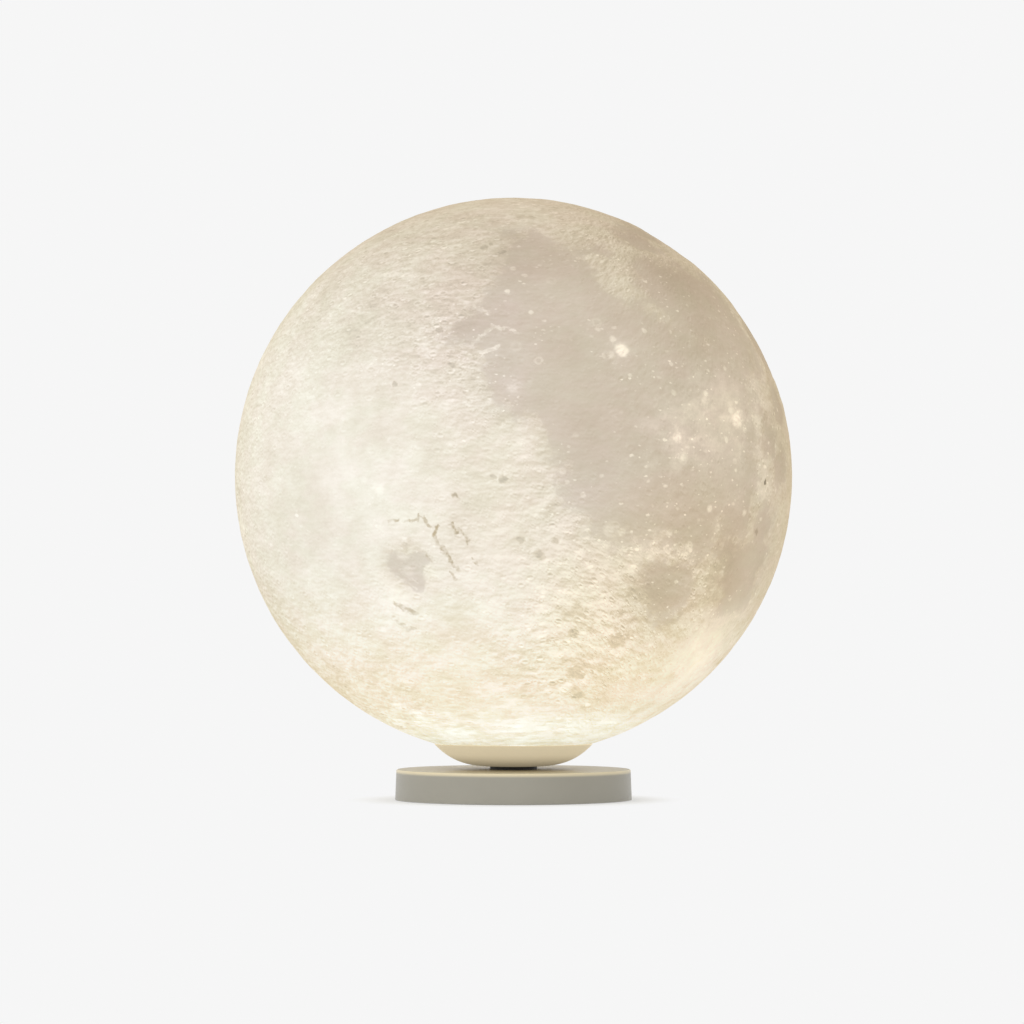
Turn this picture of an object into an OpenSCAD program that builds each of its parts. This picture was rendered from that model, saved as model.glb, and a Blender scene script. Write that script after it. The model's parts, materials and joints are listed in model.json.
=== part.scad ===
// Table lamp: a moon globe on a shallow dish and a round base.
// Millimetres, +Z up. The origin is the centre of the base's underside, on the table.
// The front is -Y. The charging socket, the button and the charge light face +Y.

/* [Moon] */
// Outer radius of the moon globe
moon_r = 100; // [80:1:140]
// Wall of the moon globe
moon_wall = 2; // [1.2:0.1:4]
// Width of the flat foot round the globe's opening, on which the globe stands
foot_land = 5.95; // [5.4:0.05:9]
// Gap that shows between the globe's foot and the rim of the dish
seam_gap = 0.2; // [0.1:0.05:0.6]
// Depth of the deepest crater in the globe's outer face
crater_depth = 0.7; // [0.2:0.1:1]
// Share of a crater's depth that its width of one degree gives
crater_fill = 0.12; // [0.05:0.01:0.2]

/* [Collar and slip ring] */
// Wall of the collar's tube inside the globe's opening
collar_wall = 1.6; // [1:0.1:2.4]
// Height of the collar's tube above the foot
collar_tube_h = 3.4; // [2:0.2:8]
// Thickness of the collar's flange under the foot
collar_flange_t = 1; // [0.8:0.1:1.6]
// Thickness of the slip ring that the globe turns on
slip_ring_t = 0.5; // [0.3:0.1:1]

/* [Dish] */
// How far the dish's rim stands out past the globe's foot
rim_show = 0.4; // [0:0.1:2]
// Height of the dish from its underside to its rim
dish_depth = 7.8; // [7:0.2:14]
// Wall of the dish
dish_wall = 1.2; // [0.8:0.1:2]
// Radius of the dish's flat underside
dish_flat_r = 11; // [8.5:0.5:12]
// How far inside the rim the point lies that draws the dish's side outwards
dish_shoulder_inset = 6.9; // [5:0.1:8]
// Height of that point above the dish's underside
dish_shoulder_h = 0.3; // [0:0.1:2]

/* [Neck] */
// Radius of the neck between dish and base
neck_r = 8.5; // [7:0.5:9]
// Height of the neck
neck_h = 1.2; // [0.8:0.1:6]

/* [Base] */
// Diameter of the base at its lower edge
base_d = 85; // [84:1:110]
// Height of the base's top face above the table
base_h = 11; // [11:0.5:24]
// How much smaller the base's radius is at its top edge
base_draft = 0.4; // [0:0.1:1]
// Thickness of the base's side wall
base_wall = 1.5; // [1:0.1:2.4]
// Thickness of the base's top
base_top_t = 1.6; // [1.2:0.1:2.4]
// Radius of the base's rounded top edge
base_edge_r = 0.6; // [0.4:0.1:1.5]
// Height of the base's lower edge above the table
base_edge_lift = 0.2; // [0.2:0.1:0.8]
// Thickness of the anti-slip pad
pad_t = 1; // [0.8:0.1:1.6]
// Thickness of the bottom plate
plate_t = 1.5; // [1.4:0.1:2]
// Radius of the posts that the bottom plate is screwed to
post_r = 3; // [2.4:0.1:4]
// Distance of those posts' centres from the base's inner wall
post_inset = 5.6; // [4.5:0.1:8]

/* [Ballast and battery] */
// Gap left over the ballast weights
ballast_top_gap = 1; // [0.5:0.1:3]
// Length of the battery
battery_l = 40; // [30:1:42]
// Width of the battery
battery_w = 21; // [14:1:23]
// Thickness of the battery
battery_t = 4.4; // [3:0.1:4.8]
// Thickness of the foam tape that holds the battery
tape_t = 0.8; // [0.5:0.1:1]
// How far the tape's edge lies inside the battery's edge
tape_inset = 3; // [1:0.5:5]

/* [Control board] */
// Width of the control board
board_w = 30; // [26:1:36]
// Thickness of the control board
board_t = 1; // [0.8:0.1:1.4]
// Distance from the base's ceiling to the board's upper face
board_drop = 3.7; // [3.6:0.1:4]
// Width of the charging socket
socket_w = 8.94; // [8.9:0.01:9.1]
// Height of the charging socket
socket_h = 3.26; // [3.2:0.01:3.4]
// Length of the charging socket
socket_l = 7.3; // [6.5:0.1:9]
// How far the socket's mouth lies behind the wall's outer face
socket_recess = 0.5; // [0.3:0.1:1]
// Angle from the back to the button, and to the charge light on the other side
side_angle = 16; // [14:1:18]
// Width of the push button
button_w = 6.4; // [4:0.1:7]
// Height of the push button
button_h = 2.8; // [2:0.1:2.9]
// How far the button stands out of the wall
button_proud = 0.9; // [0.7:0.1:1.6]
// Travel of the button
button_travel = 0.6; // [0.3:0.1:0.7]
// Radius of the charge light's pipe
pipe_r = 1; // [0.6:0.1:1.4]

/* [Threaded tube] */
// Outer radius of the threaded tube
tube_r = 5; // [4:0.1:5.2]
// Radius of the tube's bore
tube_bore_r = 3.5; // [2.4:0.1:3.8]
// Height of a tube nut
nut_h = 3; // [2:0.1:3.4]
// Radius of a tube nut over its corners
nut_r = 8.1; // [7.5:0.1:8.5]
// Thickness of a tube washer
washer_t = 0.6; // [0.4:0.1:1]
// Length of tube that stands out past each nut
tube_end = 0.8; // [0.3:0.1:1.2]

/* [Light] */
// Outer radius of the diffuser
diffuser_r = 20; // [19:0.5:21]
// Height of the diffuser's dome
dome_h = 12; // [6:1:20]
// Wall of the diffuser
diffuser_wall = 1.15; // [0.8:0.05:1.6]
// Height of the diffuser's straight skirt
skirt_h = 4.4; // [4:0.2:8]
// Thickness of the carrier's bottom
carrier_floor_t = 2; // [1.4:0.1:2.4]
// Thickness of the carrier's ledge under the slip ring
carrier_ledge_t = 1.2; // [0.8:0.1:1.6]
// Height of the carrier's shoulder, which the diffuser stands on, above its ledge
carrier_shoulder_h = 1; // [0.6:0.1:1.4]
// Height of the carrier's top above that shoulder
carrier_top_h = 2.4; // [2.4:0.1:3.4]
// Radius of the pocket in the carrier's top
carrier_pocket_r = 11; // [9.5:0.5:12]
// Thickness of the light board
light_board_t = 1.2; // [0.8:0.1:1.6]
// Number of light chips in the outer ring
light_count = 12; // [6:1:14]
// Radius of the outer ring of light chips
light_ring_r = 10.5; // [9:0.5:12]
// Thickness of a light chip
light_chip_t = 0.7; // [0.5:0.1:1]

/* [Screws] */
// Radius of the bottom plate's screws
plate_screw_r = 1.25; // [1:0.05:1.5]
// Radius of a board screw
board_screw_r = 0.95; // [0.8:0.05:1.1]
// Height of a board screw's head
board_head_h = 0.9; // [0.6:0.1:1.1]
// Radius of a lead's insulation
lead_r = 0.6; // [0.4:0.05:0.7]

/* [Fits] */
// Radial play of a screw or threaded tube in its hole
screw_play = 0.05; // [0.02:0.01:0.1]
// Play of faces that slide on each other
slide_play = 0.05; // [0.02:0.01:0.1]
// Radial play of the collar round the diffuser
lift_play = 0.4; // [0.3:0.05:0.8]
// Play of one part pushed over another
push_play = 0.05; // [0.02:0.01:0.1]
// Gap round the bottom plate, the socket and the button
case_gap = 0.2; // [0.15:0.05:0.4]
// Gap between the parts inside a casing
inner_gap = 1; // [0.8:0.1:1.6]

/* [Hidden] */

// Smoothness of round faces, and the size by which a cut runs past a face
$fn = 96;
cut = 0.5;

// Colours
paint = "#b4b1a4";
cream = "#cbbd98";
white = "#f4f1e8";
glow = "#fff3d2";
steel = "#a8acb0";
brass = "#c9a95b";
alloy = "#c4c8cc";
black = "#26282a";
board_green = "#2f6b4a";

// Heights of the base
base_r = base_d / 2;
base_top_r = base_r - base_draft;
base_in_r = base_top_r - base_wall;
plate_top = pad_t + plate_t;
ceiling = base_h - base_top_t;
plate_r = base_in_r - case_gap;
pad_r = plate_r - inner_gap;

// Radii about the lamp's axis
collar_bore_r = diffuser_r + lift_play;
collar_tube_r = collar_bore_r + collar_wall;
opening_r = collar_tube_r + push_play;
moon_foot_r = opening_r + foot_land;
rim_r = moon_foot_r + rim_show;
plateau_r = diffuser_r - diffuser_wall - push_play;
light_board_r = plateau_r - inner_gap / 2;

// Heights of the dish and the globe
dish_z = base_h + neck_h;
rim_z = dish_z + dish_depth;
foot_z = rim_z + seam_gap;
moon_z = foot_z + sqrt(pow(moon_r, 2) - pow(moon_foot_r, 2));

// Stack under the globe, from the collar down to the carrier's ledge
flange_z = foot_z - collar_flange_t;
ring_top = flange_z - slide_play;
ring_z = ring_top - slip_ring_t;
ledge_top = ring_z - slide_play;
ledge_z = ledge_top - carrier_ledge_t;
shoulder_z = ledge_top + carrier_shoulder_h;
carrier_top = shoulder_z + carrier_top_h;
light_board_top = carrier_top + light_board_t;

// Light chips
light_chip_w = 2.8;
light_chip_l = 3.5;
inner_ring_r = light_ring_r - light_chip_w - 2 * inner_gap;

// Threaded tube, from under the base's top to over the carrier's floor
carrier_z = dish_z + dish_wall;
carrier_floor = carrier_z + carrier_floor_t;
tube_z = ceiling - washer_t - nut_h - tube_end;
tube_top = carrier_floor + washer_t + nut_h + tube_end;
tube_hole_r = tube_r + screw_play;

// Control board
board_top = ceiling - board_drop;
board_z = board_top - board_t;
board_y = nut_r + inner_gap;
board_r = base_in_r - 2 * inner_gap;
port_z = board_top + socket_h / 2;
wall_r = base_r - base_draft * (port_z - base_edge_lift) / (base_h - base_edge_lift);
socket_mouth = wall_r - socket_recess;
socket_wall = 0.3;
tongue_w = 6.7;
tongue_t = 0.7;
tongue_inset = 0.8;
board_post_wall = 1.4;
board_post_r = board_screw_r + board_post_wall;
board_screw_x = board_w / 2 - board_post_r - inner_gap / 2;

// Battery connector, beside the tube nut, and the board's screws behind it
connector_w = 6;
connector_l = 4.5;
connector_h = 3;
lead_pitch = 2;
connector_x = nut_r + lead_r + lead_pitch / 2 + case_gap;
connector_y = board_y + inner_gap / 2;
lead_z = board_top + connector_h / 2;
board_screw_y = connector_y + connector_l + inner_gap + board_post_r;

// Push button and switch, measured outwards from the lamp's axis
function wall_seat(half) = sqrt(pow(base_in_r, 2) - pow(half, 2)) - slide_play;
button_flange = 0.45;
button_flange_t = 0.8;
button_edge = 0.4;
button_seat = wall_seat(button_w / 2 + button_flange);
button_back = button_seat - button_flange_t;
button_face = wall_r + button_proud;
stem_r = 1.1;
stem_l = 0.9;
plunger_r = 1.4;
plunger_l = 1.6;
plunger_front = button_back - stem_l;
switch_w = 6;
switch_h = 3.4;
switch_l = 3.2;
switch_front = plunger_front - button_travel - case_gap;

// Charge light's pipe, with its flange against the wall's inner face
pipe_flange_r = pipe_r + 0.5;
pipe_flange_t = 0.6;
pipe_seat = wall_seat(pipe_flange_r);
pipe_back = pipe_seat - pipe_flange_t - inner_gap;
lamp_w = 2.4;
lamp_l = 1.4;
lamp_y = pipe_back - lamp_l - inner_gap / 2;

// Battery, tape and ballast
battery_y = -(nut_r + inner_gap + battery_w / 2);
battery_top = ceiling - tape_t;
battery_z = battery_top - battery_t;
ballast_x = max(battery_l, board_w) / 2 + inner_gap;
ballast_r = base_in_r - inner_gap;
ballast_top = ceiling - ballast_top_gap;
post_ring_r = base_in_r - post_inset;
post_angle = 30;
screw_length = ballast_top - pad_t - inner_gap;

// Craters by latitude, longitude and width in degrees. Longitude 0 is the middle of the face that
// the moon shows the earth. The longitude below looks along -Y, so that middle looks nearly along +X.
view_longitude = -71.8;
CRATERS = [
    [-20, -95, 14], [10, -20, 5], [24, -47, 4], [-43, -11, 5], [8, -38, 4], [52, -9, 6],
    [-58, -14, 9], [-5, -68, 8], [-17, -67, 6], [-44, -55, 9], [-25, -61, 6], [-51, -50, 7],
    [35, -75, 6], [58, -100, 8], [-36, -82, 7], [5, -110, 8], [38, -135, 9], [-10, -130, 7],
    [62, -48, 6], [-66, -95, 8], [21, -160, 9], [-32, -165, 10], [-18, 26, 6], [-11, 26, 6],
    [-9, 61, 6], [46, 44, 6], [-41, 6, 6], [-33, 164, 12], [27, 147, 10], [-20, 129, 7],
    [5, 100, 8], [-55, 60, 8], [10, 175, 7], [60, 100, 9], [-62, 140, 9], [30, 90, 6]
];

// Dish's side: a curve from the rim to the flat, drawn out towards the shoulder point
curve_steps = 16;
dish_rim = [rim_r, rim_z];
dish_shoulder = [rim_r - dish_shoulder_inset, dish_z + dish_shoulder_h];
dish_foot = [dish_flat_r, dish_z];
function curve_point(t) =
    pow(1 - t, 2) * dish_rim + 2 * t * (1 - t) * dish_shoulder + pow(t, 2) * dish_foot;
function curve_way(t) = (1 - t) * (dish_shoulder - dish_rim) + t * (dish_foot - dish_shoulder);
function inward(v) = [v[1], -v[0]] / norm(v);
dish_outer = [for (i = [0:curve_steps]) curve_point(i / curve_steps)];
dish_inner = [for (i = [0:curve_steps])
    curve_point(i / curve_steps) + dish_wall * inward(curve_way(i / curve_steps))];
dish_width = [for (p = dish_inner) [p[1], p[0]]];
function dish_inner_r(z) = lookup(z, dish_width);
carrier_foot_r = dish_flat_r - inner_gap / 2;
carrier_r = dish_inner_r(ledge_z) - inner_gap / 2;
flange_r = dish_inner_r(flange_z) - inner_gap / 2;
ring_inset = 0.3;
ring_r = carrier_r - ring_inset;

// Runs its children at the four plate posts
module at_plate_posts() {
    for (side = [0, 180], tilt = [-post_angle, post_angle])
        rotate(side + tilt)
            translate([post_ring_r, 0, 0])
                children();
}

// Runs its children at the two control board screws
module at_board_screws() {
    for (side = [-1, 1])
        translate([side * board_screw_x, board_screw_y, 0])
            children();
}

// Runs its children at the three light board screws
module at_light_screws() {
    for (i = [0:2])
        rotate(30 + 120 * i)
            translate([(light_board_r + carrier_pocket_r) / 2, 0, 0])
                children();
}

// Turns a shape that was drawn along +Z so that it points outwards through the back wall
module outwards(angle) {
    rotate([0, 0, -angle])
        translate([0, 0, port_z])
            rotate([-90, 0, 0])
                children();
}

// Cuts its flat children through the back wall
module through_wall(angle) {
    outwards(angle)
        translate([0, 0, board_r])
            linear_extrude(base_r - board_r + cut)
                children();
}

// Outline with straight sides and round ends
module slot_outline(width, height) {
    square([width - height, height], center = true);
    for (side = [-1, 1])
        translate([side * (width - height) / 2, 0])
            circle(d = height);
}

module tube_solid(outer, inner, height) {
    difference() {
        cylinder(r = outer, h = height);
        translate([0, 0, -cut])
            cylinder(r = inner, h = height + 2 * cut);
    }
}

module base_pad() {
    color(black)
        cylinder(r = pad_r, h = pad_t);
}

// Screw with a sunk head, or the hole for it where the play is above 0
module countersunk(shaft, play, length) {
    cylinder(r1 = 2 * shaft + play, r2 = shaft + play, h = shaft);
    cylinder(r = shaft + play, h = length);
}

module base_plate() {
    color(steel)
        difference() {
            translate([0, 0, pad_t])
                cylinder(r = plate_r, h = plate_t);
            at_plate_posts()
                translate([0, 0, pad_t])
                    countersunk(plate_screw_r, screw_play, plate_t + cut);
        }
}

module base_plate_screws() {
    color(steel)
        at_plate_posts()
            translate([0, 0, pad_t])
                countersunk(plate_screw_r, 0, screw_length);
}

module base_outline() {
    polygon(concat(
        [[0, base_edge_lift], [base_r, base_edge_lift]],
        [for (a = [0:15:90])
            [base_top_r - base_edge_r + base_edge_r * cos(a), base_h - base_edge_r + base_edge_r * sin(a)]],
        [[0, base_h]]
    ));
}

module base_housing() {
    color(paint)
        difference() {
            union() {
                difference() {
                    rotate_extrude()
                        base_outline();
                    translate([0, 0, base_edge_lift - cut])
                        cylinder(r = base_in_r, h = ceiling - base_edge_lift + cut);
                }
                at_plate_posts()
                    translate([0, 0, plate_top])
                        cylinder(r = post_r, h = ceiling - plate_top + base_top_t / 2);
                at_board_screws()
                    translate([0, 0, board_top])
                        cylinder(r = board_post_r, h = board_drop + base_top_t / 2);
            }
            translate([0, 0, ceiling - cut])
                cylinder(r = tube_hole_r, h = base_top_t + 2 * cut);
            at_plate_posts()
                translate([0, 0, plate_top - cut])
                    cylinder(r = plate_screw_r + screw_play, h = ballast_top - plate_top + cut);
            at_board_screws()
                translate([0, 0, board_top - cut])
                    cylinder(r = board_screw_r + screw_play, h = board_drop - inner_gap / 2 + cut);
            through_wall(0)
                slot_outline(socket_w + 2 * case_gap, socket_h + 2 * case_gap);
            through_wall(side_angle)
                slot_outline(button_w + 2 * case_gap, button_h + 2 * case_gap);
            through_wall(-side_angle)
                circle(r = pipe_r + push_play);
        }
}

module ballast_weights() {
    color(steel)
        difference() {
            translate([0, 0, plate_top])
                cylinder(r = ballast_r, h = ballast_top - plate_top);
            translate([-ballast_x, -base_r, plate_top - cut])
                cube([2 * ballast_x, base_d, ceiling]);
            at_plate_posts()
                translate([0, 0, plate_top - cut])
                    cylinder(r = post_r + case_gap, h = ceiling);
        }
}

module battery_cell() {
    color(alloy)
        translate([-battery_l / 2, battery_y - battery_w / 2, battery_z])
            cube([battery_l, battery_w, battery_t]);
}

module battery_tape() {
    color(white)
        translate([-battery_l / 2 + tape_inset, battery_y - battery_w / 2 + tape_inset, battery_top])
            cube([battery_l - 2 * tape_inset, battery_w - 2 * tape_inset, tape_t]);
}

module battery_leads() {
    start_y = battery_y + battery_w / 2;
    color(black)
        for (side = [-1, 1])
            translate([connector_x + side * lead_pitch / 2, start_y, lead_z])
                rotate([-90, 0, 0])
                    cylinder(r = lead_r, h = connector_y - start_y);
}

module battery_connector() {
    color(white)
        translate([connector_x - connector_w / 2, connector_y, board_top])
            cube([connector_w, connector_l, connector_h]);
}

module control_board() {
    color(board_green)
        difference() {
            intersection() {
                translate([0, 0, board_z])
                    cylinder(r = board_r, h = board_t);
                translate([-board_w / 2, board_y, board_z])
                    cube([board_w, board_r, board_t]);
            }
            at_board_screws()
                translate([0, 0, board_z - cut])
                    cylinder(r = board_screw_r + screw_play, h = board_t + 2 * cut);
        }
}

// Chips by place, width, depth and height, and the charge light's lamp behind its pipe
CHIPS = [
    [-1, 20, 5, 5, 0.9], [-7.5, 22, 4, 4, 2], [5.5, 22.5, 4, 3, 1.1], [-2, 27.5, 3, 1.6, 1],
    [3, 27.5, 3, 1.6, 1], [-8, 28, 2, 1.2, 0.9], [1, 15, 2, 1.2, 0.6], [-3, 15, 2, 1.2, 0.6]
];

module board_chips() {
    color(black)
        for (c = CHIPS)
            translate([c[0] - c[2] / 2, c[1] - c[3] / 2, board_top])
                cube([c[2], c[3], c[4]]);
    color(white)
        rotate(side_angle)
            translate([-lamp_w / 2, lamp_y, board_top])
                cube([lamp_w, lamp_l, port_z - board_top + pipe_r]);
}

module board_screws() {
    color(steel)
        at_board_screws() {
            translate([0, 0, board_z - board_head_h])
                cylinder(r = 2 * board_screw_r, h = board_head_h);
            translate([0, 0, board_z - board_head_h])
                cylinder(r = board_screw_r, h = board_head_h + board_t + board_drop - inner_gap);
        }
}

module socket_shell() {
    color(alloy)
        outwards(0)
            translate([0, 0, socket_mouth - socket_l])
                difference() {
                    linear_extrude(socket_l)
                        slot_outline(socket_w, socket_h);
                    translate([0, 0, socket_wall])
                        linear_extrude(socket_l)
                            slot_outline(socket_w - 2 * socket_wall, socket_h - 2 * socket_wall);
                }
}

module socket_tongue() {
    color(black)
        outwards(0)
            translate([-tongue_w / 2, -tongue_t / 2, socket_mouth - socket_l + socket_wall])
                cube([tongue_w, tongue_t, socket_l - socket_wall - tongue_inset]);
}

module switch_body() {
    color(black)
        difference() {
            rotate(-side_angle)
                translate([-switch_w / 2, switch_front - switch_l, board_top])
                    cube([switch_w, switch_l, switch_h]);
            outwards(side_angle)
                translate([0, 0, plunger_front - plunger_l - button_travel - case_gap])
                    cylinder(r = plunger_r + slide_play, h = plunger_l + switch_l);
        }
}

module switch_plunger() {
    color(white)
        outwards(side_angle)
            translate([0, 0, plunger_front - plunger_l])
                cylinder(r = plunger_r, h = plunger_l);
}

module push_button() {
    color(white)
        outwards(side_angle) {
            translate([0, 0, plunger_front])
                cylinder(r = stem_r, h = stem_l + button_flange_t);
            translate([0, 0, button_back]) {
                linear_extrude(button_flange_t)
                    slot_outline(button_w + 2 * button_flange, button_h + 2 * button_flange);
                linear_extrude(button_face - button_edge - button_back)
                    slot_outline(button_w, button_h);
                linear_extrude(button_face - button_back)
                    slot_outline(button_w - 2 * button_edge, button_h - 2 * button_edge);
            }
        }
}

module charge_light_pipe() {
    color(white)
        outwards(-side_angle)
            rotate_extrude()
                polygon([
                    [0, pipe_back], [pipe_r, pipe_back], [pipe_r, pipe_seat - pipe_flange_t],
                    [pipe_flange_r, pipe_seat - pipe_flange_t], [pipe_flange_r, pipe_seat],
                    [pipe_r, pipe_seat], [pipe_r, wall_r], [0, wall_r]
                ]);
}

module neck_spacer() {
    color(black)
        translate([0, 0, base_h])
            tube_solid(neck_r, tube_hole_r, neck_h);
}

module threaded_tube() {
    color(brass)
        translate([0, 0, tube_z])
            tube_solid(tube_r, tube_bore_r, tube_top - tube_z);
}

module tube_nut() {
    difference() {
        cylinder(r = nut_r, h = nut_h, $fn = 6);
        translate([0, 0, -cut])
            cylinder(r = tube_hole_r, h = nut_h + 2 * cut);
    }
}

module tube_nuts() {
    color(brass) {
        translate([0, 0, ceiling - washer_t - nut_h])
            tube_nut();
        translate([0, 0, carrier_floor + washer_t])
            tube_nut();
    }
}

module tube_washers() {
    washer_rim = 0.4;
    washer_r = nut_r + washer_rim;
    color(steel)
        for (z = [ceiling - washer_t, carrier_floor])
            translate([0, 0, z])
                tube_solid(washer_r, tube_hole_r, washer_t);
}

module dish() {
    color(cream)
        difference() {
            rotate_extrude()
                polygon(concat([[0, rim_z]], dish_outer, [[0, dish_z]]));
            rotate_extrude()
                polygon(concat([[0, rim_z + dish_wall]], dish_inner, [[0, dish_z + dish_wall]]));
            translate([0, 0, dish_z - cut])
                cylinder(r = tube_hole_r, h = dish_wall + 2 * cut);
        }
}

module light_carrier() {
    color(alloy)
        difference() {
            rotate_extrude()
                polygon([
                    [tube_hole_r, carrier_z], [carrier_foot_r, carrier_z], [carrier_r, ledge_z],
                    [carrier_r, ledge_top], [diffuser_r, ledge_top], [diffuser_r, shoulder_z],
                    [plateau_r, shoulder_z], [plateau_r, carrier_top],
                    [carrier_pocket_r, carrier_top], [carrier_pocket_r, carrier_floor],
                    [tube_hole_r, carrier_floor]
                ]);
            at_light_screws()
                translate([0, 0, ledge_z])
                    cylinder(r = board_screw_r + screw_play, h = carrier_top);
        }
}

module light_board() {
    color(white)
        difference() {
            translate([0, 0, carrier_top])
                cylinder(r = light_board_r, h = light_board_t);
            at_light_screws()
                translate([0, 0, carrier_top - cut])
                    cylinder(r = board_screw_r + screw_play, h = light_board_t + 2 * cut);
        }
}

module light_chips() {
    color(glow)
        for (ring = [[light_ring_r, light_count], [inner_ring_r, floor(light_count / 2)]], i = [1:ring[1]])
            rotate(360 * i / ring[1])
                translate([ring[0] - light_chip_w / 2, -light_chip_l / 2, light_board_top])
                    cube([light_chip_w, light_chip_l, light_chip_t]);
}

module light_board_screws() {
    color(steel)
        at_light_screws() {
            translate([0, 0, light_board_top])
                cylinder(r = 1.8 * board_screw_r, h = board_head_h);
            translate([0, 0, shoulder_z])
                cylinder(r = board_screw_r, h = light_board_top - shoulder_z + board_head_h / 2);
        }
}

module light_leads() {
    run_z = plate_top + case_gap + lead_r;
    bend = 3 * lead_r;
    stub = 1.5 * lead_r;
    board_reach = 4;
    run_end = board_y + board_reach;
    color(black)
        for (side = [-1, 1])
            translate([side * (lead_r + case_gap), 0, 0]) {
                translate([0, 0, run_z + bend])
                    cylinder(r = lead_r, h = carrier_top - run_z - bend);
                translate([0, bend, run_z + bend])
                    rotate([0, 90, 0])
                        rotate([0, 0, -90])
                            rotate_extrude(angle = 90)
                                translate([bend, 0])
                                    circle(r = lead_r);
                translate([0, bend, run_z])
                    rotate([-90, 0, 0])
                        cylinder(r = lead_r, h = run_end - bend);
                translate([0, run_end, run_z + stub])
                    rotate([0, 90, 0])
                        rotate_extrude(angle = 90)
                            translate([stub, 0])
                                circle(r = lead_r);
                translate([0, run_end + stub, run_z + stub])
                    cylinder(r = lead_r, h = board_z - run_z - stub);
            }
}

// Dome outline from the skirt up to the top, for a dome of the given base radius and height
function dome_points(radius, base_z, height) =
    [for (a = [0:7.5:90]) [radius * cos(a), base_z + height * sin(a)]];

module diffuser() {
    dome_z = shoulder_z + skirt_h;
    color(white)
        difference() {
            rotate_extrude()
                polygon(concat(
                    [[0, shoulder_z], [diffuser_r, shoulder_z]],
                    dome_points(diffuser_r, dome_z, dome_h)
                ));
            rotate_extrude()
                polygon(concat(
                    [[0, shoulder_z - cut], [diffuser_r - diffuser_wall, shoulder_z - cut]],
                    dome_points(diffuser_r - diffuser_wall, dome_z, dome_h - diffuser_wall)
                ));
        }
}

module slip_ring() {
    color(white)
        translate([0, 0, ring_z])
            tube_solid(ring_r, collar_bore_r, slip_ring_t);
}

module moon_collar() {
    color(white)
        rotate_extrude()
            polygon([
                [collar_bore_r, flange_z], [flange_r, flange_z], [flange_r, foot_z],
                [collar_tube_r, foot_z], [collar_tube_r, foot_z + collar_tube_h],
                [collar_bore_r, foot_z + collar_tube_h]
            ]);
}

// A ball that cuts a round dimple of the crater's width and depth into the globe
module crater(latitude, longitude, width) {
    half = moon_r * sin(width / 2);
    depth = min(crater_depth, crater_fill * width);
    ball = (pow(half, 2) + pow(depth, 2)) / (2 * depth);
    rotate([0, 0, longitude - view_longitude - 90])
        rotate([0, 90 - latitude, 0])
            translate([0, 0, moon_r * cos(width / 2) - depth + ball])
                sphere(r = ball);
}

module moon_shell() {
    color(glow)
        difference() {
            translate([0, 0, moon_z])
                sphere(r = moon_r, $fn = 192);
            translate([0, 0, moon_z])
                sphere(r = moon_r - moon_wall, $fn = 192);
            translate([0, 0, moon_z])
                for (c = CRATERS)
                    crater(c[0], c[1], c[2]);
            translate([0, 0, foot_z - moon_r])
                cylinder(r = moon_r, h = moon_r);
            translate([0, 0, foot_z - cut])
                cylinder(r = opening_r, h = moon_wall + 2 * cut);
        }
}

base_pad();
base_plate();
base_plate_screws();
base_housing();
ballast_weights();
battery_cell();
battery_tape();
battery_leads();
battery_connector();
control_board();
board_chips();
board_screws();
socket_shell();
socket_tongue();
switch_body();
switch_plunger();
push_button();
charge_light_pipe();
neck_spacer();
threaded_tube();
tube_nuts();
tube_washers();
dish();
light_carrier();
light_board();
light_chips();
light_board_screws();
light_leads();
diffuser();
slip_ring();
moon_collar();
moon_shell();
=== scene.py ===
"""Table lamp: a moon globe that glows from inside, on a shallow dish and a round base.

Metres, +Z up, and the front is -Y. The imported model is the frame. The globe's shell is rebuilt here
as a finer mesh with seas, craters and streaks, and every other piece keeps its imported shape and
gets its finish.
"""

import json
import math
import random

import bpy
import numpy as np
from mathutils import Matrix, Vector, noise

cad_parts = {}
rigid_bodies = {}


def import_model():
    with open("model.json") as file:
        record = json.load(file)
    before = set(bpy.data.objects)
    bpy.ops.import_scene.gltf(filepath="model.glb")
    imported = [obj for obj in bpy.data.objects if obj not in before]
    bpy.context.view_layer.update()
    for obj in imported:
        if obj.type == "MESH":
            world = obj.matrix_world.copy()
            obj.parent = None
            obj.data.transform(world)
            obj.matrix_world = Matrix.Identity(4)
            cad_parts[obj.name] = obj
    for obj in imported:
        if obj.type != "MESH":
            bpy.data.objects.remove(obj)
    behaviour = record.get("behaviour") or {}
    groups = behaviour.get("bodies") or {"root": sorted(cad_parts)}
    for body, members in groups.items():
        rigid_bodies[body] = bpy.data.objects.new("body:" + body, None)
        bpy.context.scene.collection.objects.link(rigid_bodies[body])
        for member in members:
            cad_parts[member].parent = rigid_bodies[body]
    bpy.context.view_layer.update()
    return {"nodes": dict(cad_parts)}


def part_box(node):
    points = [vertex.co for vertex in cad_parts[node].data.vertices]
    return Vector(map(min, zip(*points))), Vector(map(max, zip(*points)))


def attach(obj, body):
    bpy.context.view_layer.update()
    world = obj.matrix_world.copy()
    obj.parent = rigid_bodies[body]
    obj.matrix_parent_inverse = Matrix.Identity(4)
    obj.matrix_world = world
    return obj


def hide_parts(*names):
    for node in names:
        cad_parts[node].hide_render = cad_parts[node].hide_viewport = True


for leftover in list(bpy.data.objects):
    bpy.data.objects.remove(leftover)
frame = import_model()

MM = 0.001
WHITE = (1, 1, 1, 1)

# Least value that is divided by
TINY = 1e-9

# Camera: its place and reach in metres, pitch and yaw in degrees, lens and sensor in millimetres
CAMERA_DISTANCE = 1.5183
CAMERA_HEIGHT = 0.0696
CAMERA_PITCH = 1.276
CAMERA_YAW = 0.0204
CAMERA_LENS = 148.4
CAMERA_SENSOR = 36
CAMERA_REACH = 20

# Backdrop as it is seen, and the light that the world casts on the object
BACKDROP = 0.9225
WORLD_LIGHT = 0.72

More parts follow.
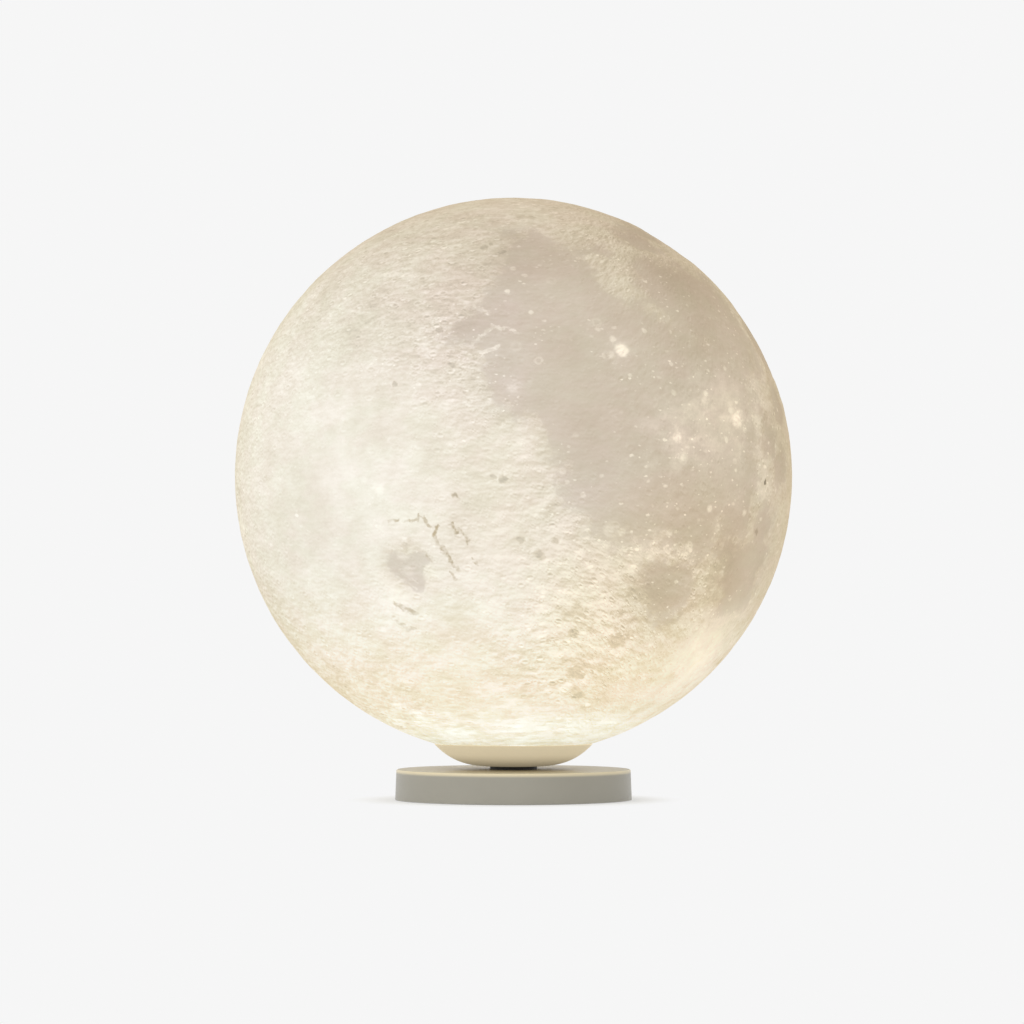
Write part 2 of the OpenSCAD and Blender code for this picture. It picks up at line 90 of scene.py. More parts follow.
# Floor: its grey and its half width. The shadow shows by this share up to the near radius, and it
# fades out up to the far one.
FLOOR_GREY = 0.86
FLOOR_HALF = 4.0
SHADOW_SHARE = 0.5
SHADOW_NEAR = 0.043
SHADOW_FAR = 0.062

# Globe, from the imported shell: its radius, wall, opening, foot and centre
MOON_R = 0.1
MOON_WALL = 2 * MM
OPENING_R = 22.05 * MM
shell_low, shell_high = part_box("moon_shell")
FOOT_Z = shell_low.z
MOON_Z = shell_high.z - MOON_R

# Distance between neighbouring points of the globe's mesh
OUTER_SPACING = 1.29 * MM
FOOT_SPACING = 1.5 * OUTER_SPACING
INNER_SPACING = 5 * MM

# Longitude of the globe's map that looks along -Y
VIEW_LONGITUDE = -71.8


# ---------------------------------------------------------------- the globe's map


def towards(latitude, longitude):
    """Unit vector from the globe's centre towards a place on its map."""
    lat = math.radians(latitude)
    lon = math.radians(longitude - VIEW_LONGITUDE)
    return np.array([math.sin(lon) * math.cos(lat), -math.cos(lon) * math.cos(lat), math.sin(lat)])


def angle_to(points, latitude, longitude):
    """Angle in degrees from each unit vector to a place on the map."""
    return np.degrees(np.arccos(np.clip(points @ towards(latitude, longitude), -1, 1)))


def east_and_north(middle):
    """Unit vectors to the east and to the north at a place on the globe."""
    east = np.cross([0, 0, 1], middle)
    east /= np.linalg.norm(east)
    return east, np.cross(middle, east)


def smooth(value, low, high):
    """0 below low, 1 above high, and a smooth step in between."""
    t = np.clip((value - low) / (high - low), 0, 1)
    return t * t * (3 - 2 * t)


def inside_by(points, outline):
    """How far inside an outline of (latitude, longitude) corners each unit vector lies, in degrees."""
    corners = np.array([towards(*c) for c in outline])
    middle = corners.mean(0)
    middle /= np.linalg.norm(middle)
    east, north = east_and_north(middle)

    def flat(v):
        angle = np.degrees(np.arccos(np.clip(v @ middle, -1, 1)))
        side = np.stack([v @ east, v @ north], 1)
        return side * (angle / np.maximum(np.linalg.norm(side, axis=1), TINY))[:, None]

    place, outer = flat(points), flat(corners)
    nearest = np.full(len(points), np.inf)
    inside = np.zeros(len(points), bool)
    for a, b in zip(outer, np.roll(outer, -1, axis=0)):
        edge = b - a
        share = np.clip((place - a) @ edge / (edge @ edge), 0, 1)
        nearest = np.minimum(nearest, np.linalg.norm(place - a - share[:, None] * edge, axis=1))
        rise = edge[1] if abs(edge[1]) > TINY else TINY
        at_x = a[0] + (place[:, 1] - a[1]) * edge[0] / rise
        inside ^= ((a[1] > place[:, 1]) != (b[1] > place[:, 1])) & (place[:, 0] < at_x)
    return np.where(inside, nearest, -nearest)


# Dark plains drawn as outlines
OCEAN_OF_STORMS = [
    (57, -74.5), (49.7, -75.6), (45, -77.8), (40.5, -76.1), (34, -77.8), (31.4, -81.6), (29, -84.1),
    (26.5, -84.5), (23.7, -81), (21, -78.2), (17.7, -77.3), (13.6, -76.8), (11.6, -74), (9, -69.7),
    (8.4, -66.3), (5.3, -65), (0.4, -63.7), (-3, -62.4), (-7.7, -61.1), (-10.6, -57.8), (-13.5, -55.6),
    (-14.7, -50.8), (-15.3, -45.4), (-14, -41), (-15.7, -36.7), (-17.3, -29.8), (-14, -27),
    (-11.4, -26), (-14, -20), (-11, -14), (-4, -13), (2, -14), (8, -12.5), (13, -11), (17, -10.7),
    (22, -14), (28, -26), (33, -34), (36, -39.5), (35, -44.5), (41, -47), (44.6, -48.3), (48, -50),
    (49.5, -46), (48.5, -43.2), (51.6, -41.7), (51.7, -50.3), (50, -52.2), (51.5, -56.4), (53.3, -61),
    (56.8, -66),
]
EASTERN_SEA = [
    (-18.9, -99.3), (-17.4, -98.5), (-16.4, -96), (-17, -93.3), (-16.5, -91.6), (-17.5, -89.6),
    (-18.5, -88.6), (-19.2, -90.1), (-21.6, -91.2), (-22.6, -90.7), (-24.4, -91.2), (-24.6, -93.2),
    (-23.7, -95), (-22.1, -97), (-20.5, -98.5),
]
SEA_OF_RAINS = [
    (48.6, -32.7), (48.8, -24), (47, -18.8), (47.5, -12), (46, -5.8), (44, 1.6), (36, 1.5), (30, -1),
    (24, -0.6), (20, -2.8), (17.6, -10.7), (22, -20), (30, -32), (35.6, -38.6), (39, -38), (42.6, -37.3),
    (46.6, -35.7),
]
SEA_OF_CLOUDS = [
    (-13, -25.1), (-14.5, -14), (-14, -5), (-18, -3), (-22, -3.9), (-27.3, -6), (-30.5, -16.4),
    (-22, -22),
]
SEA_OF_MOISTURE = [
    (-24.4, -45), (-20.2, -43.4), (-19.2, -38.7), (-21.2, -32), (-26.6, -30.4), (-30.4, -35), (-28.8, -41),
]

# Each outline, and how many times faster than its distance from the shore the sea deepens
SEA_OUTLINES = [
    (OCEAN_OF_STORMS, 1.0), (SEA_OF_RAINS, 1.0), (SEA_OF_CLOUDS, 1.0), (SEA_OF_MOISTURE, 1.0),
    (EASTERN_SEA, 4.0),
]

# Dark plains drawn as rounds: latitude, longitude, radius in degrees
SEA_ROUNDS = [
    (7, -7, 4.5), (-11, -9, 4), (-8.5, -22, 4.2),
    (27, 18, 11), (8, 31, 13), (17, 59, 7), (15, 62, 6), (-3, 51, 9), (-14, 55, 8), (-15, 35, 6),
    (13, 4, 5), (2, -1, 4), (56, -22, 5), (58, -6, 5), (57, 9, 5), (55, 24, 5), (50, 38, 4),
    (-2, 87, 6), (13, 87, 6), (8, 92, 4), (-40, 92, 6), (-46, 86, 4), (-38, 100, 4),
    (27, 148, 4), (-34, 164, 5), (-20, 129, 2.4), (52, -9, 1.8),
]

# Degrees from the shore beyond which the depth changes no more, in a sea and on land
FULL_DEPTH = 12

# Patches lighter (+) or darker (-) than their surroundings: latitude, longitude, radius, strength
PATCHES = [
    (8, -104, 26, 0.02), (8, -69, 14, -0.06), (-4, -79, 8, -0.05), (8, -26, 13, 0.12),
    (24, -13, 8, 0.05), (-26, -99, 8, 0.06), (9, -101, 8, -0.05), (-25, -74, 10, 0.05),
    (-31, -64, 7, 0.05), (47, -97, 9, 0.02), (-11, -61, 7, 0.05), (-34, -17, 7, 0.07),
    (-40, -14, 14, 0.12), (-26, -51, 7, 0.04), (29, -83, 5, -0.06), (31, -108, 9, -0.07),
    (36, -101, 7, -0.05), (-3, -118, 9, -0.06), (-14, -116, 8, -0.05), (20, -90, 9, -0.03),
    (53, -84, 12, -0.04), (44, -84, 8, -0.04), (30, -90, 12, -0.04), (42, -22, 8, -0.10),
    (26, -22, 8, -0.05), (5, -50, 10, -0.03), (-2, -46, 9, -0.02), (-24, -40, 6, -0.08),
    (-21, -20, 9, -0.10), (-10, -24, 6, -0.05), (8, -2, 6, -0.08), (28, -60, 10, 0.02),
    (18, -70, 6, 0.04), (38, -62, 8, 0.03), (-52, -45, 5, -0.05), (-40, -84, 9, -0.03),
    (-57, -70, 16, 0.03), (66, -66, 10, 0.03), (-30, -33, 7, -0.05), (-8, -83, 3, -0.03),
    (-50, 30, 20, 0.04), (40, 100, 24, 0.04), (7.5, -38, 4.5, 0.05), (14, -22, 5, 0.05),
    (26, -27, 6, -0.04), (-1, -30, 5, -0.03), (3, -14, 5, -0.04), (1, -50, 6, 0.07),
    (17, -72, 7, -0.03), (23, -89, 6, 0.04), (-6, -25, 6, 0.05), (0, 150, 20, 0.03),
    (-30, 180, 20, -0.05), (-12, -96, 5, 0.06), (-19, -89, 4, 0.06), (-19, -115, 6, 0.05),
    (50, -87, 7, 0.05), (3, -72, 9, 0.04), (-19, -60, 6, 0.05), (-19, -45, 4, 0.07),
    (-19, -13, 6, 0.05), (-5, -10, 7, 0.06), (53, 5, 8, 0.05), (26, -62, 7, -0.06),
    (-27, -67, 5, -0.05), (-35, -29, 6, -0.07), (-27, -22, 4, -0.05), (8, -96, 6, -0.04),
    (-44, -46, 5, -0.04), (-44, -20, 6, -0.05), (29, -130, 8, -0.04), (20, -150, 18, 0.03),
    (-50, -160, 18, -0.04), (41, -127, 4, -0.05), (24, -110, 4, -0.05), (43, -107, 4, 0.05),
    (38, -89, 4, -0.04), (25, -80, 4, 0.04), (-12, -60, 30, 0.015), (-8, -24, 5, 0.03),
    (-6, -51, 5, 0.03), (-27, -79, 5, 0.03), (-22, -43, 4, -0.04),
]

# Roughness of the globe's skin where no place below changes it
PLAIN_ROUGHNESS = 0.7

# Places rougher (+) or smoother (-) than that: latitude, longitude, radius, strength
ROUGH_PLACES = [
    (4, -104, 26, -0.46), (-16, -122, 22, -0.3), (40, -100, 20, 0.3), (-38, -82, 15, -0.25),
    (-64, -72, 14, -0.4), (26, -85, 9, 0.6), (14, -77, 9, 0.4), (29, -20, 10, 0.4), (9, -22, 15, 1.5),
    (-22, -28, 8, 0.9), (-4, -32, 11, 0.7), (-27, -45, 15, 1.3), (-13, -36, 9, 0.9),
    (-38, -54, 13, 0.6), (-8, -60, 8, 0.5), (50, -34, 12, 0.6), (-36, -20, 9, -0.4),
    (-19.5, -94, 4, 0.8), (20, -46, 6, 0.5), (10, 150, 30, 0.6), (-10, -170, 24, 0.5),
    (-45, 150, 24, 0.6), (30, 100, 20, 0.6), (-40, 60, 20, 0.5),
]

# Bright haloes round young craters: latitude, longitude, radius of the core, reach of the rays, strength
RAY_CRATERS = [
    (10, -20, 1.2, 12, 0.28), (6, -37.5, 0.8, 11, 0.27), (14, -29, 0.7, 5, 0.10),
    (24, -48, 1.2, 3.6, 0.16), (-43, -11, 1.6, 24, 0.10), (5, -70, 0.8, 5, 0.12),
    (-4, -99, 1.0, 6, 0.08), (16, -72, 0.9, 3, 0.12), (-26, -66, 1.4, 6, 0.09), (-36, 60, 2, 14, 0.16),
    (16, 46, 1, 7, 0.14), (-9, 61, 1.6, 8, 0.12), (36, 130, 1.8, 22, 0.20), (-22, 143, 1.0, 8, 0.14),
    (8, 118, 1.2, 9, 0.12), (18, -172, 1.0, 7, 0.12), (-10, -150, 1.6, 10, 0.14),
    (60, 60, 1.4, 9, 0.12), (-60, 150, 2, 14, 0.14),
]

# Large craters of the relief: latitude, longitude, width in degrees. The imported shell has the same.
CRATERS = [
    (-20, -95, 14), (10, -20, 5), (24, -47, 4), (-43, -11, 5), (8, -38, 4), (52, -9, 6),
    (-58, -14, 9), (-5, -68, 8), (-17, -67, 6), (-44, -55, 9), (-25, -61, 6), (-51, -50, 7),
    (35, -75, 6), (58, -100, 8), (-36, -82, 7), (5, -110, 8), (38, -135, 9), (-10, -130, 7),
    (62, -48, 6), (-66, -95, 8), (21, -160, 9), (-32, -165, 10), (-18, 26, 6), (-11, 26, 6),
    (-9, 61, 6), (46, 44, 6), (-41, 6, 6), (-33, 164, 12), (27, 147, 10), (-20, 129, 7),
    (5, 100, 8), (-55, 60, 8), (10, 175, 7), (60, 100, 9), (-62, 140, 9), (30, 90, 6),
]

# Craters strewn at random: how many, their least and greatest width in degrees, and the seed
STREWN_CRATERS = 1300
SMALLEST_CRATER = 1.5
LARGEST_CRATER = 8.0
CRATER_SEED = 5

# Depth in millimetres of a crater one degree wide, and the power of its width by which it deepens
LARGE_CRATER_DEPTH = 0.05
STREWN_CRATER_DEPTH = 0.042
CRATER_GROWTH = 0.75

# How far the seas' floors lie below the land, in millimetres, and the share of crater depth lost there
SEA_DROP = 0.3
SEA_FILL = 0.82

# Direction of the painted light that lights and shades the relief's slants in the globe's colour
PAINTED_SLOPE_LIGHT = (-0.35, -0.3, 0.9)

# Small dark spots: latitude, longitude, radius, strength
DARK_SPOTS = [
    (-2.2, -73.8, 1.0, 0.55), (-1.9, -75.6, 0.6, 0.4), (-5.4, -83.2, 0.7, 0.3),
    (16.8, -96.7, 0.7, 0.45), (-17, -66.5, 1.1, 0.5), (-14, -70.3, 0.8, 0.35), (-14.2, -63.5, 0.7, 0.4),
    (-34, -57.7, 1.2, 0.4), (-44, -55, 1.9, 0.4), (-45.2, -52.6, 0.9, 0.4), (-51, -51, 1.2, 0.35),
    (-1.9, -10.4, 0.55, 1.2), (-12.2, -11.7, 0.9, 0.5), (-36, -46, 1.8, 0.35), (-29, -47, 1.0, 0.3),
    (22.5, -80, 0.9, 0.3), (20.6, -84.5, 0.8, 0.3), (28.2, -88.4, 0.8, 0.4), (50.5, -81, 0.9, 0.5),
    (51.5, -79, 0.6, 0.4), (49, -75, 0.7, 0.4), (63.6, -68.4, 1.5, 0.25), (63.2, -64.8, 1.2, 0.25),
    (-41.6, 8, 1.2, 0.3), (-15.4, -94.2, 0.8, 0.2), (-14, -93, 0.7, 0.2), (-20.3, 128.8, 2.0, 0.6),
    (40, -160, 1.0, 0.35), (-8, 140, 1.0, 0.3), (32, 110, 0.9, 0.3), (14, 168, 1.6, 0.25),
    (4, 132, 1.2, 0.25), (-28, 100, 1.4, 0.25), (-46, 176, 1.8, 0.25),
]

# Small bright spots: latitude, longitude, radius, strength
BRIGHT_SPOTS = [
    (23.9, -47.9, 1.5, 0.9), (22.9, -50.6, 0.9, 0.6), (26.4, -49.6, 0.8, 0.6), (22.5, -52.4, 0.6, 0.5),
    (10.2, -20, 1.6, 0.25), (8.6, -17.6, 0.9, 0.5), (12, -21.6, 0.8, 0.5), (11.6, -18, 0.9, 0.4),
    (6.2, -24.1, 0.7, 0.7), (44, -71.9, 0.7, 0.7), (37.6, -73.4, 0.6, 0.8), (32.3, -67.8, 0.6, 0.9),
    (21.3, -36.3, 0.5, 0.7), (21, -19.9, 0.6, 0.7), (15.2, -37.1, 0.7, 0.7), (15.4, -28.4, 0.7, 0.8),
    (28.5, -41.1, 0.6, 0.7), (28.5, -33.8, 0.5, 0.6), (28.6, -52.7, 0.6, 0.6), (-0.7, -62.2, 0.7, 0.6),
    (-2.8, -61.4, 0.5, 0.5), (-5.3, -58.2, 0.6, 0.5), (-12.5, -49.7, 0.9, 0.7),
    (-12.6, -38.8, 0.9, 0.6), (-7.7, -37.4, 0.5, 0.5), (-7.7, -29, 0.8, 0.9), (-8.3, -17.8, 0.8, 0.8),
    (-20.8, -21.5, 0.9, 0.6), (-19.8, -46.5, 1.2, 0.7), (1.9, -21.9, 0.7, 0.6), (-7.2, -43.3, 0.4, 0.4),
    (-15.1, -33.2, 1.0, 0.6), (-16.6, -42, 1.5, 0.5), (6.3, -59.7, 0.7, 0.3), (2.2, -36.4, 0.9, 0.6),
    (47.6, -49.1, 0.8, 0.7), (46.4, -45.9, 0.8, 0.6), (-11.8, -52.4, 1.4, 0.45),
    (47.4, -52.4, 0.6, 0.5), (-25.4, -61.8, 2.6, 0.4), (2.8, -100.2, 2.0, 0.3), (20.2, -91, 1.0, 0.3),
    (-14.5, -62.3, 1.6, 0.4), (-38.4, -48.7, 1.6, 0.35), (-2, -102.4, 0.9, 0.3),
    (-18.1, -37.4, 1.3, 0.7), (-16.9, -42.4, 0.8, 0.7), (-15.9, -39.2, 0.7, 0.6),
    (-16.9, -33.8, 0.7, 0.6), (-15, -23.8, 1.0, 0.5), (-21.2, -21.3, 1.0, 0.6),
    (-28.7, -54.7, 1.3, 0.5), (-32.1, -51.6, 1.2, 0.7), (-33.3, -48.5, 1.0, 0.7),
    (-35.9, -49.5, 0.8, 0.5), (-24.4, -47.3, 1.0, 0.5), (-17, -95.1, 1.4, 0.4),
    (-20.4, -94.3, 1.2, 0.3),
]

# Dark grooves round the eastern sea: width in degrees, strength, and a run of (latitude, longitude)
GROOVES = [
    (0.5, 0.8, [(-10.2, -97.2), (-10, -95.2)]),
    (0.45, 0.7, [(-10.2, -93.9), (-10.2, -91.1), (-8.9, -90.4), (-11, -88.9), (-11.6, -87.9)]),
    (0.62, 1.0, [(-11.4, -87.1), (-13.4, -87.8), (-15.8, -86.1), (-20.1, -83.4)]),
    (0.4, 0.8, [(-16.6, -86.8), (-17, -85.6)]),
    (0.55, 0.9, [(-10.9, -84), (-12.5, -83.3), (-11.9, -82.4), (-13.7, -80.9), (-14.6, -81.1)]),
    (0.42, 0.7, [(-17.7, -80.3), (-19.1, -79.1)]),
    (0.5, 0.6, [(-20.7, -85.1), (-21.9, -84)]),
    (0.5, 0.6, [(-5.6, -83.8), (-5.2, -83), (-5.8, -82.4)]),
    (0.8, 0.7, [(-27.2, -98.9), (-28.5, -96), (-29.4, -94.6)]),
    (0.7, 0.35, [(-31, -99.6), (-33.1, -97.1), (-32.9, -95.5)]),
    (0.5, 0.6, [(-17.2, -89.7), (-18.2, -89.1)]),
]

# Bright streaks and ridges, in the same way
STREAKS = [
    (0.7, 0.5, [(-22.3, -22.5), (-26.6, -22.1), (-31.6, -20.4), (-37.2, -17.4)]),
    (0.8, 0.5, [(-27.3, -21.3), (-35.9, -19.7), (-44.3, -18.8)]),
    (0.9, 0.5, [(-31.2, -10.8), (-38.5, -9.3), (-46.8, -7)]),
    (0.8, 0.4, [(-36, -8), (-30, -2)]),
    (0.4, 0.5, [(-21.4, -97), (-24, -93.2)]),
    (0.35, 0.5, [(-20.2, -96.2), (-23.2, -92.4)]),
    (0.6, 0.9, [(25.2, -80.4), (27.4, -78.3), (28.8, -76.2), (28.7, -73.1), (27.4, -70.9)]),
    (0.6, 0.9, [(33.6, -81.1), (32.1, -77.7)]),
    (0.6, 0.9, [(23.3, -82.6), (22.2, -80.4), (23.2, -77.9), (24.7, -74.9)]),
]

# Small bright rings: latitude, longitude, radius, strength
RINGS = [
    (21.4, -66.5, 0.7, 0.45), (30.2, -52.6, 0.8, 0.25), (24.6, -71.3, 0.9, 0.15), (2.2, -36.4, 0.9, 0.3),
    (-12, -51.9, 1.3, 0.35), (40.5, -62, 0.8, 0.15), (63, -68.4, 1.6, 0.3),
]


def terrain(points, scale, squeeze, octaves, offset):
    """Soft noise about 0, about 1 high, squeezed upwards by the given factor so that it lies in bands."""
    shift = Vector((offset, 2 * offset, -offset))
    stretch = points * np.array([scale, scale, scale * squeeze])
    return np.array([noise.fractal(Vector(p) + shift, 0.9, 2.1, octaves) for p in stretch])


def soft_patches(points, patches, sharpness):
    """Sum of round patches of (latitude, longitude, radius, strength) that fade outwards."""
    total = np.zeros(len(points))
    for latitude, longitude, radius, strength in patches:
        share = angle_to(points, latitude, longitude) / radius
        total += strength * np.exp(-(share ** 2) * sharpness)
    return total


def sea_depth(points):
    """How far inside a dark plain each unit vector lies, in degrees, negative outside."""
    depth = np.full(len(points), -np.inf)
    for outline, steepness in SEA_OUTLINES:
        depth = np.maximum(depth, steepness * inside_by(points, outline))
    ragged = 0.5 * terrain(points, 6, 1, 3, 11.3)
    for latitude, longitude, radius in SEA_ROUNDS:
        depth = np.maximum(depth, radius * (1 + ragged) - angle_to(points, latitude, longitude))
    return np.clip(depth, -FULL_DEPTH, FULL_DEPTH)


def halo(points):
    """Brightness that the young craters and their rays add."""
    total = np.zeros(len(points))
    for number, (latitude, longitude, core, reach, strength) in enumerate(RAY_CRATERS):
        east, north = east_and_north(towards(latitude, longitude))
        angle = angle_to(points, latitude, longitude)
        bearing = np.arctan2(points @ north, points @ east)
        petals = 0.5 + 0.15 * np.sin(7 * bearing + number) + 0.1 * np.sin(11 * bearing + 2.3 * number)
        fading = np.exp(-((angle / reach) ** 1.2) * (2.6 - 1.6 * petals))
        rays = 0.75 * fading * (0.35 + 0.65 * petals)
        disc = smooth(-angle, -1.6 * core, -core)
        total += strength * np.maximum(rays, disc)
    return total


def crater_bowl(share):
    """Height of a crater's floor, wall and rim by the distance from its middle as a share of its radius."""
    bowl = -1.0 + 1.35 * np.clip(share, 0, 1) ** 2.4
    apron = 0.35 * np.clip((1.75 - share) / 0.75, 0, 1) ** 2
    return np.where(share < 1, bowl, apron)


def strewn_craters():
    """Craters at random places, small ones most often: direction, width in degrees, depth."""
    rng = random.Random(CRATER_SEED)
    spread = 1 - (SMALLEST_CRATER / LARGEST_CRATER) ** 2
    craters = []
    for _ in range(STREWN_CRATERS):
        z = rng.uniform(-1, 1)
        turn = rng.uniform(0, math.tau)
        width = SMALLEST_CRATER * (1 - rng.random() * spread) ** -0.5
        ring = math.sqrt(1 - z * z)
        middle = np.array([ring * math.cos(turn), ring * math.sin(turn), z])
        craters.append((middle, width, STREWN_CRATER_DEPTH))
    return craters


def relief(points, depth):
    """Height of the globe's outer face over its sphere, in millimetres."""
    height = 0.10 * terrain(points, 9, 1.5, 6, 3.1) + 0.05 * terrain(points, 30, 2.6, 3, 7.7)
    large = [(towards(lat, lon), width, LARGE_CRATER_DEPTH) for lat, lon, width in CRATERS]
    craters = np.zeros(len(points))
    for middle, width, deep in strewn_craters() + large:
        half = math.radians(width / 2)
        near = np.nonzero(points @ middle > math.cos(1.8 * half))[0]
        share = np.linalg.norm(points[near] - middle, axis=1) / half
        craters[near] += deep * width ** CRATER_GROWTH * crater_bowl(share)
    calm = smooth(depth, -1.5, 1.5)
    return height + craters * (1 - SEA_FILL * calm) - SEA_DROP * calm


# ---------------------------------------------------------------- meshes


def zip_rings(lower, upper):
    """Triangles between two rings of vertex numbers, each in order round the axis."""
    faces = []
    i = j = 0
    below, above = len(lower), len(upper)
    while i < below or j < above:
        if j == above or (i < below and (i + 1) * above <= (j + 1) * below):
            if below > 1:
                faces.append((lower[i], lower[(i + 1) % below], upper[j % above]))
            i += 1
        else:
            if above > 1:
                faces.append((upper[(j + 1) % above], upper[j], lower[i % below]))
            j += 1
    return faces


def sphere_rings(radius, low_r, spacing):
    """Rings (radius, height) up a sphere from where it is low_r wide at its foot to its top."""
    end = math.pi - math.asin(low_r / radius)
    steps = round(end * radius / (spacing * math.sqrt(3) / 2))
    angles = [end * (1 - k / steps) for k in range(steps)]
    return [(radius * math.sin(a), radius * math.cos(a)) for a in angles] + [(0.0, radius)]


def moon_mesh():
    """The globe's shell: an outer face, a flat foot round the opening, and an inner face.

    Gives the points, the faces and the number of the first point of the outer face.
    """
    foot_drop = MOON_Z - FOOT_Z
    foot_r = math.sqrt(MOON_R ** 2 - foot_drop ** 2)
    inner = sphere_rings(MOON_R - MOON_WALL, OPENING_R, INNER_SPACING)[::-1]
    outer = sphere_rings(MOON_R, foot_r, OUTER_SPACING)
    chain = [(r, z, INNER_SPACING) for r, z in inner]
    chain += [(r, -foot_drop, FOOT_SPACING) for r in (OPENING_R, (OPENING_R + foot_r) / 2)]
    first_outer = len(chain)
    chain += [(r, z, OUTER_SPACING) for r, z in outer]
    rings, points = [], []
    outer_start = 0
    for number, (radius, height, spacing) in enumerate(chain):
        if number == first_outer:
            outer_start = len(points)
        count = max(1, round(math.tau * radius / spacing))
        twist = (number % 2) * 0.5
        rings.append(range(len(points), len(points) + count))
        for k in range(count):
            turn = math.tau * (k + twist) / count
            points.append((radius * math.cos(turn), radius * math.sin(turn), height))
    faces = []
    for lower, upper in zip(rings, rings[1:]):
        faces += zip_rings(lower, upper)
    return np.array(points), faces, outer_start


def painted_slope_shade_of(mesh, outer_start, unit):
    """How far each outer point's face leans towards the painted light, against the plain sphere's: painted
    light and shade.
    """
    normals = np.zeros(len(mesh.vertices) * 3, np.float32)
    mesh.vertex_normals.foreach_get("vector", normals)
    normals = normals.reshape(-1, 3)[outer_start:].astype(float)
    return (normals - unit) @ np.array(PAINTED_SLOPE_LIGHT)


def make_moon():
    """The globe's shell with its relief, and what its material reads at each outer point."""
    points, faces, outer_start = moon_mesh()
    outer = points[outer_start:]
    unit = outer / np.linalg.norm(outer, axis=1)[:, None]
    depth = sea_depth(unit)
    above_foot = (outer[:, 2] + MOON_Z - FOOT_Z) / MM
    lifted = relief(unit, depth) * smooth(above_foot, 0.2, 6)
    points[outer_start:] = outer + unit * (lifted * MM)[:, None]
    points[:, 2] += MOON_Z

    mesh = bpy.data.meshes.new("moon_shell_visual")
    mesh.from_pydata(points.tolist(), [], faces)
    mesh.update()
    mesh.shade_smooth()
    mesh.set_sharp_from_angle(angle=math.radians(40))

    # Painted light and shade on the relief, kept for the globe's colour
    painted_slope_shade = painted_slope_shade_of(mesh, outer_start, unit) * smooth(above_foot, 0.5, 6)
    tone = soft_patches(unit, PATCHES, 1.4)
    rough = PLAIN_ROUGHNESS + soft_patches(unit, ROUGH_PLACES, 1.0)
    columns = {"sea_depth": depth, "tone": tone, "ray": halo(unit), "painted_slope_shade": painted_slope_shade, "rough": rough}
    for name, values in columns.items():
        inner_value = -FULL_DEPTH if name == "sea_depth" else 0.0
        whole = np.concatenate([np.full(outer_start, inner_value), values])
        attribute = mesh.attributes.new(name, "FLOAT", "POINT")
        attribute.data.foreach_set("value", whole.astype(np.float32))

    starts = np.array([min(f) for f in faces])
    mesh.materials.append(moon_outside())
    mesh.materials.append(moon_inside())
    mesh.polygons.foreach_set("material_index", (starts < outer_start).astype(np.int32))
    moon = bpy.data.objects.new("moon_shell_visual", mesh)
    bpy.context.scene.collection.objects.link(moon)
    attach(moon, "moon")
    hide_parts("moon_shell")


# ---------------------------------------------------------------- materials


def linear(red, green, blue):
    """A colour given by its 0 to 255 screen values, as plain light."""
    def one(value):
        value /= 255
        return value / 12.92 if value <= 0.04045 else ((value + 0.055) / 1.055) ** 2.4
    return (one(red), one(green), one(blue), 1.0)


def shaded(colour, share):
    """A colour with its light multiplied, up to white."""
    return tuple(min(1, c * share) for c in colour[:3]) + (1.0,)


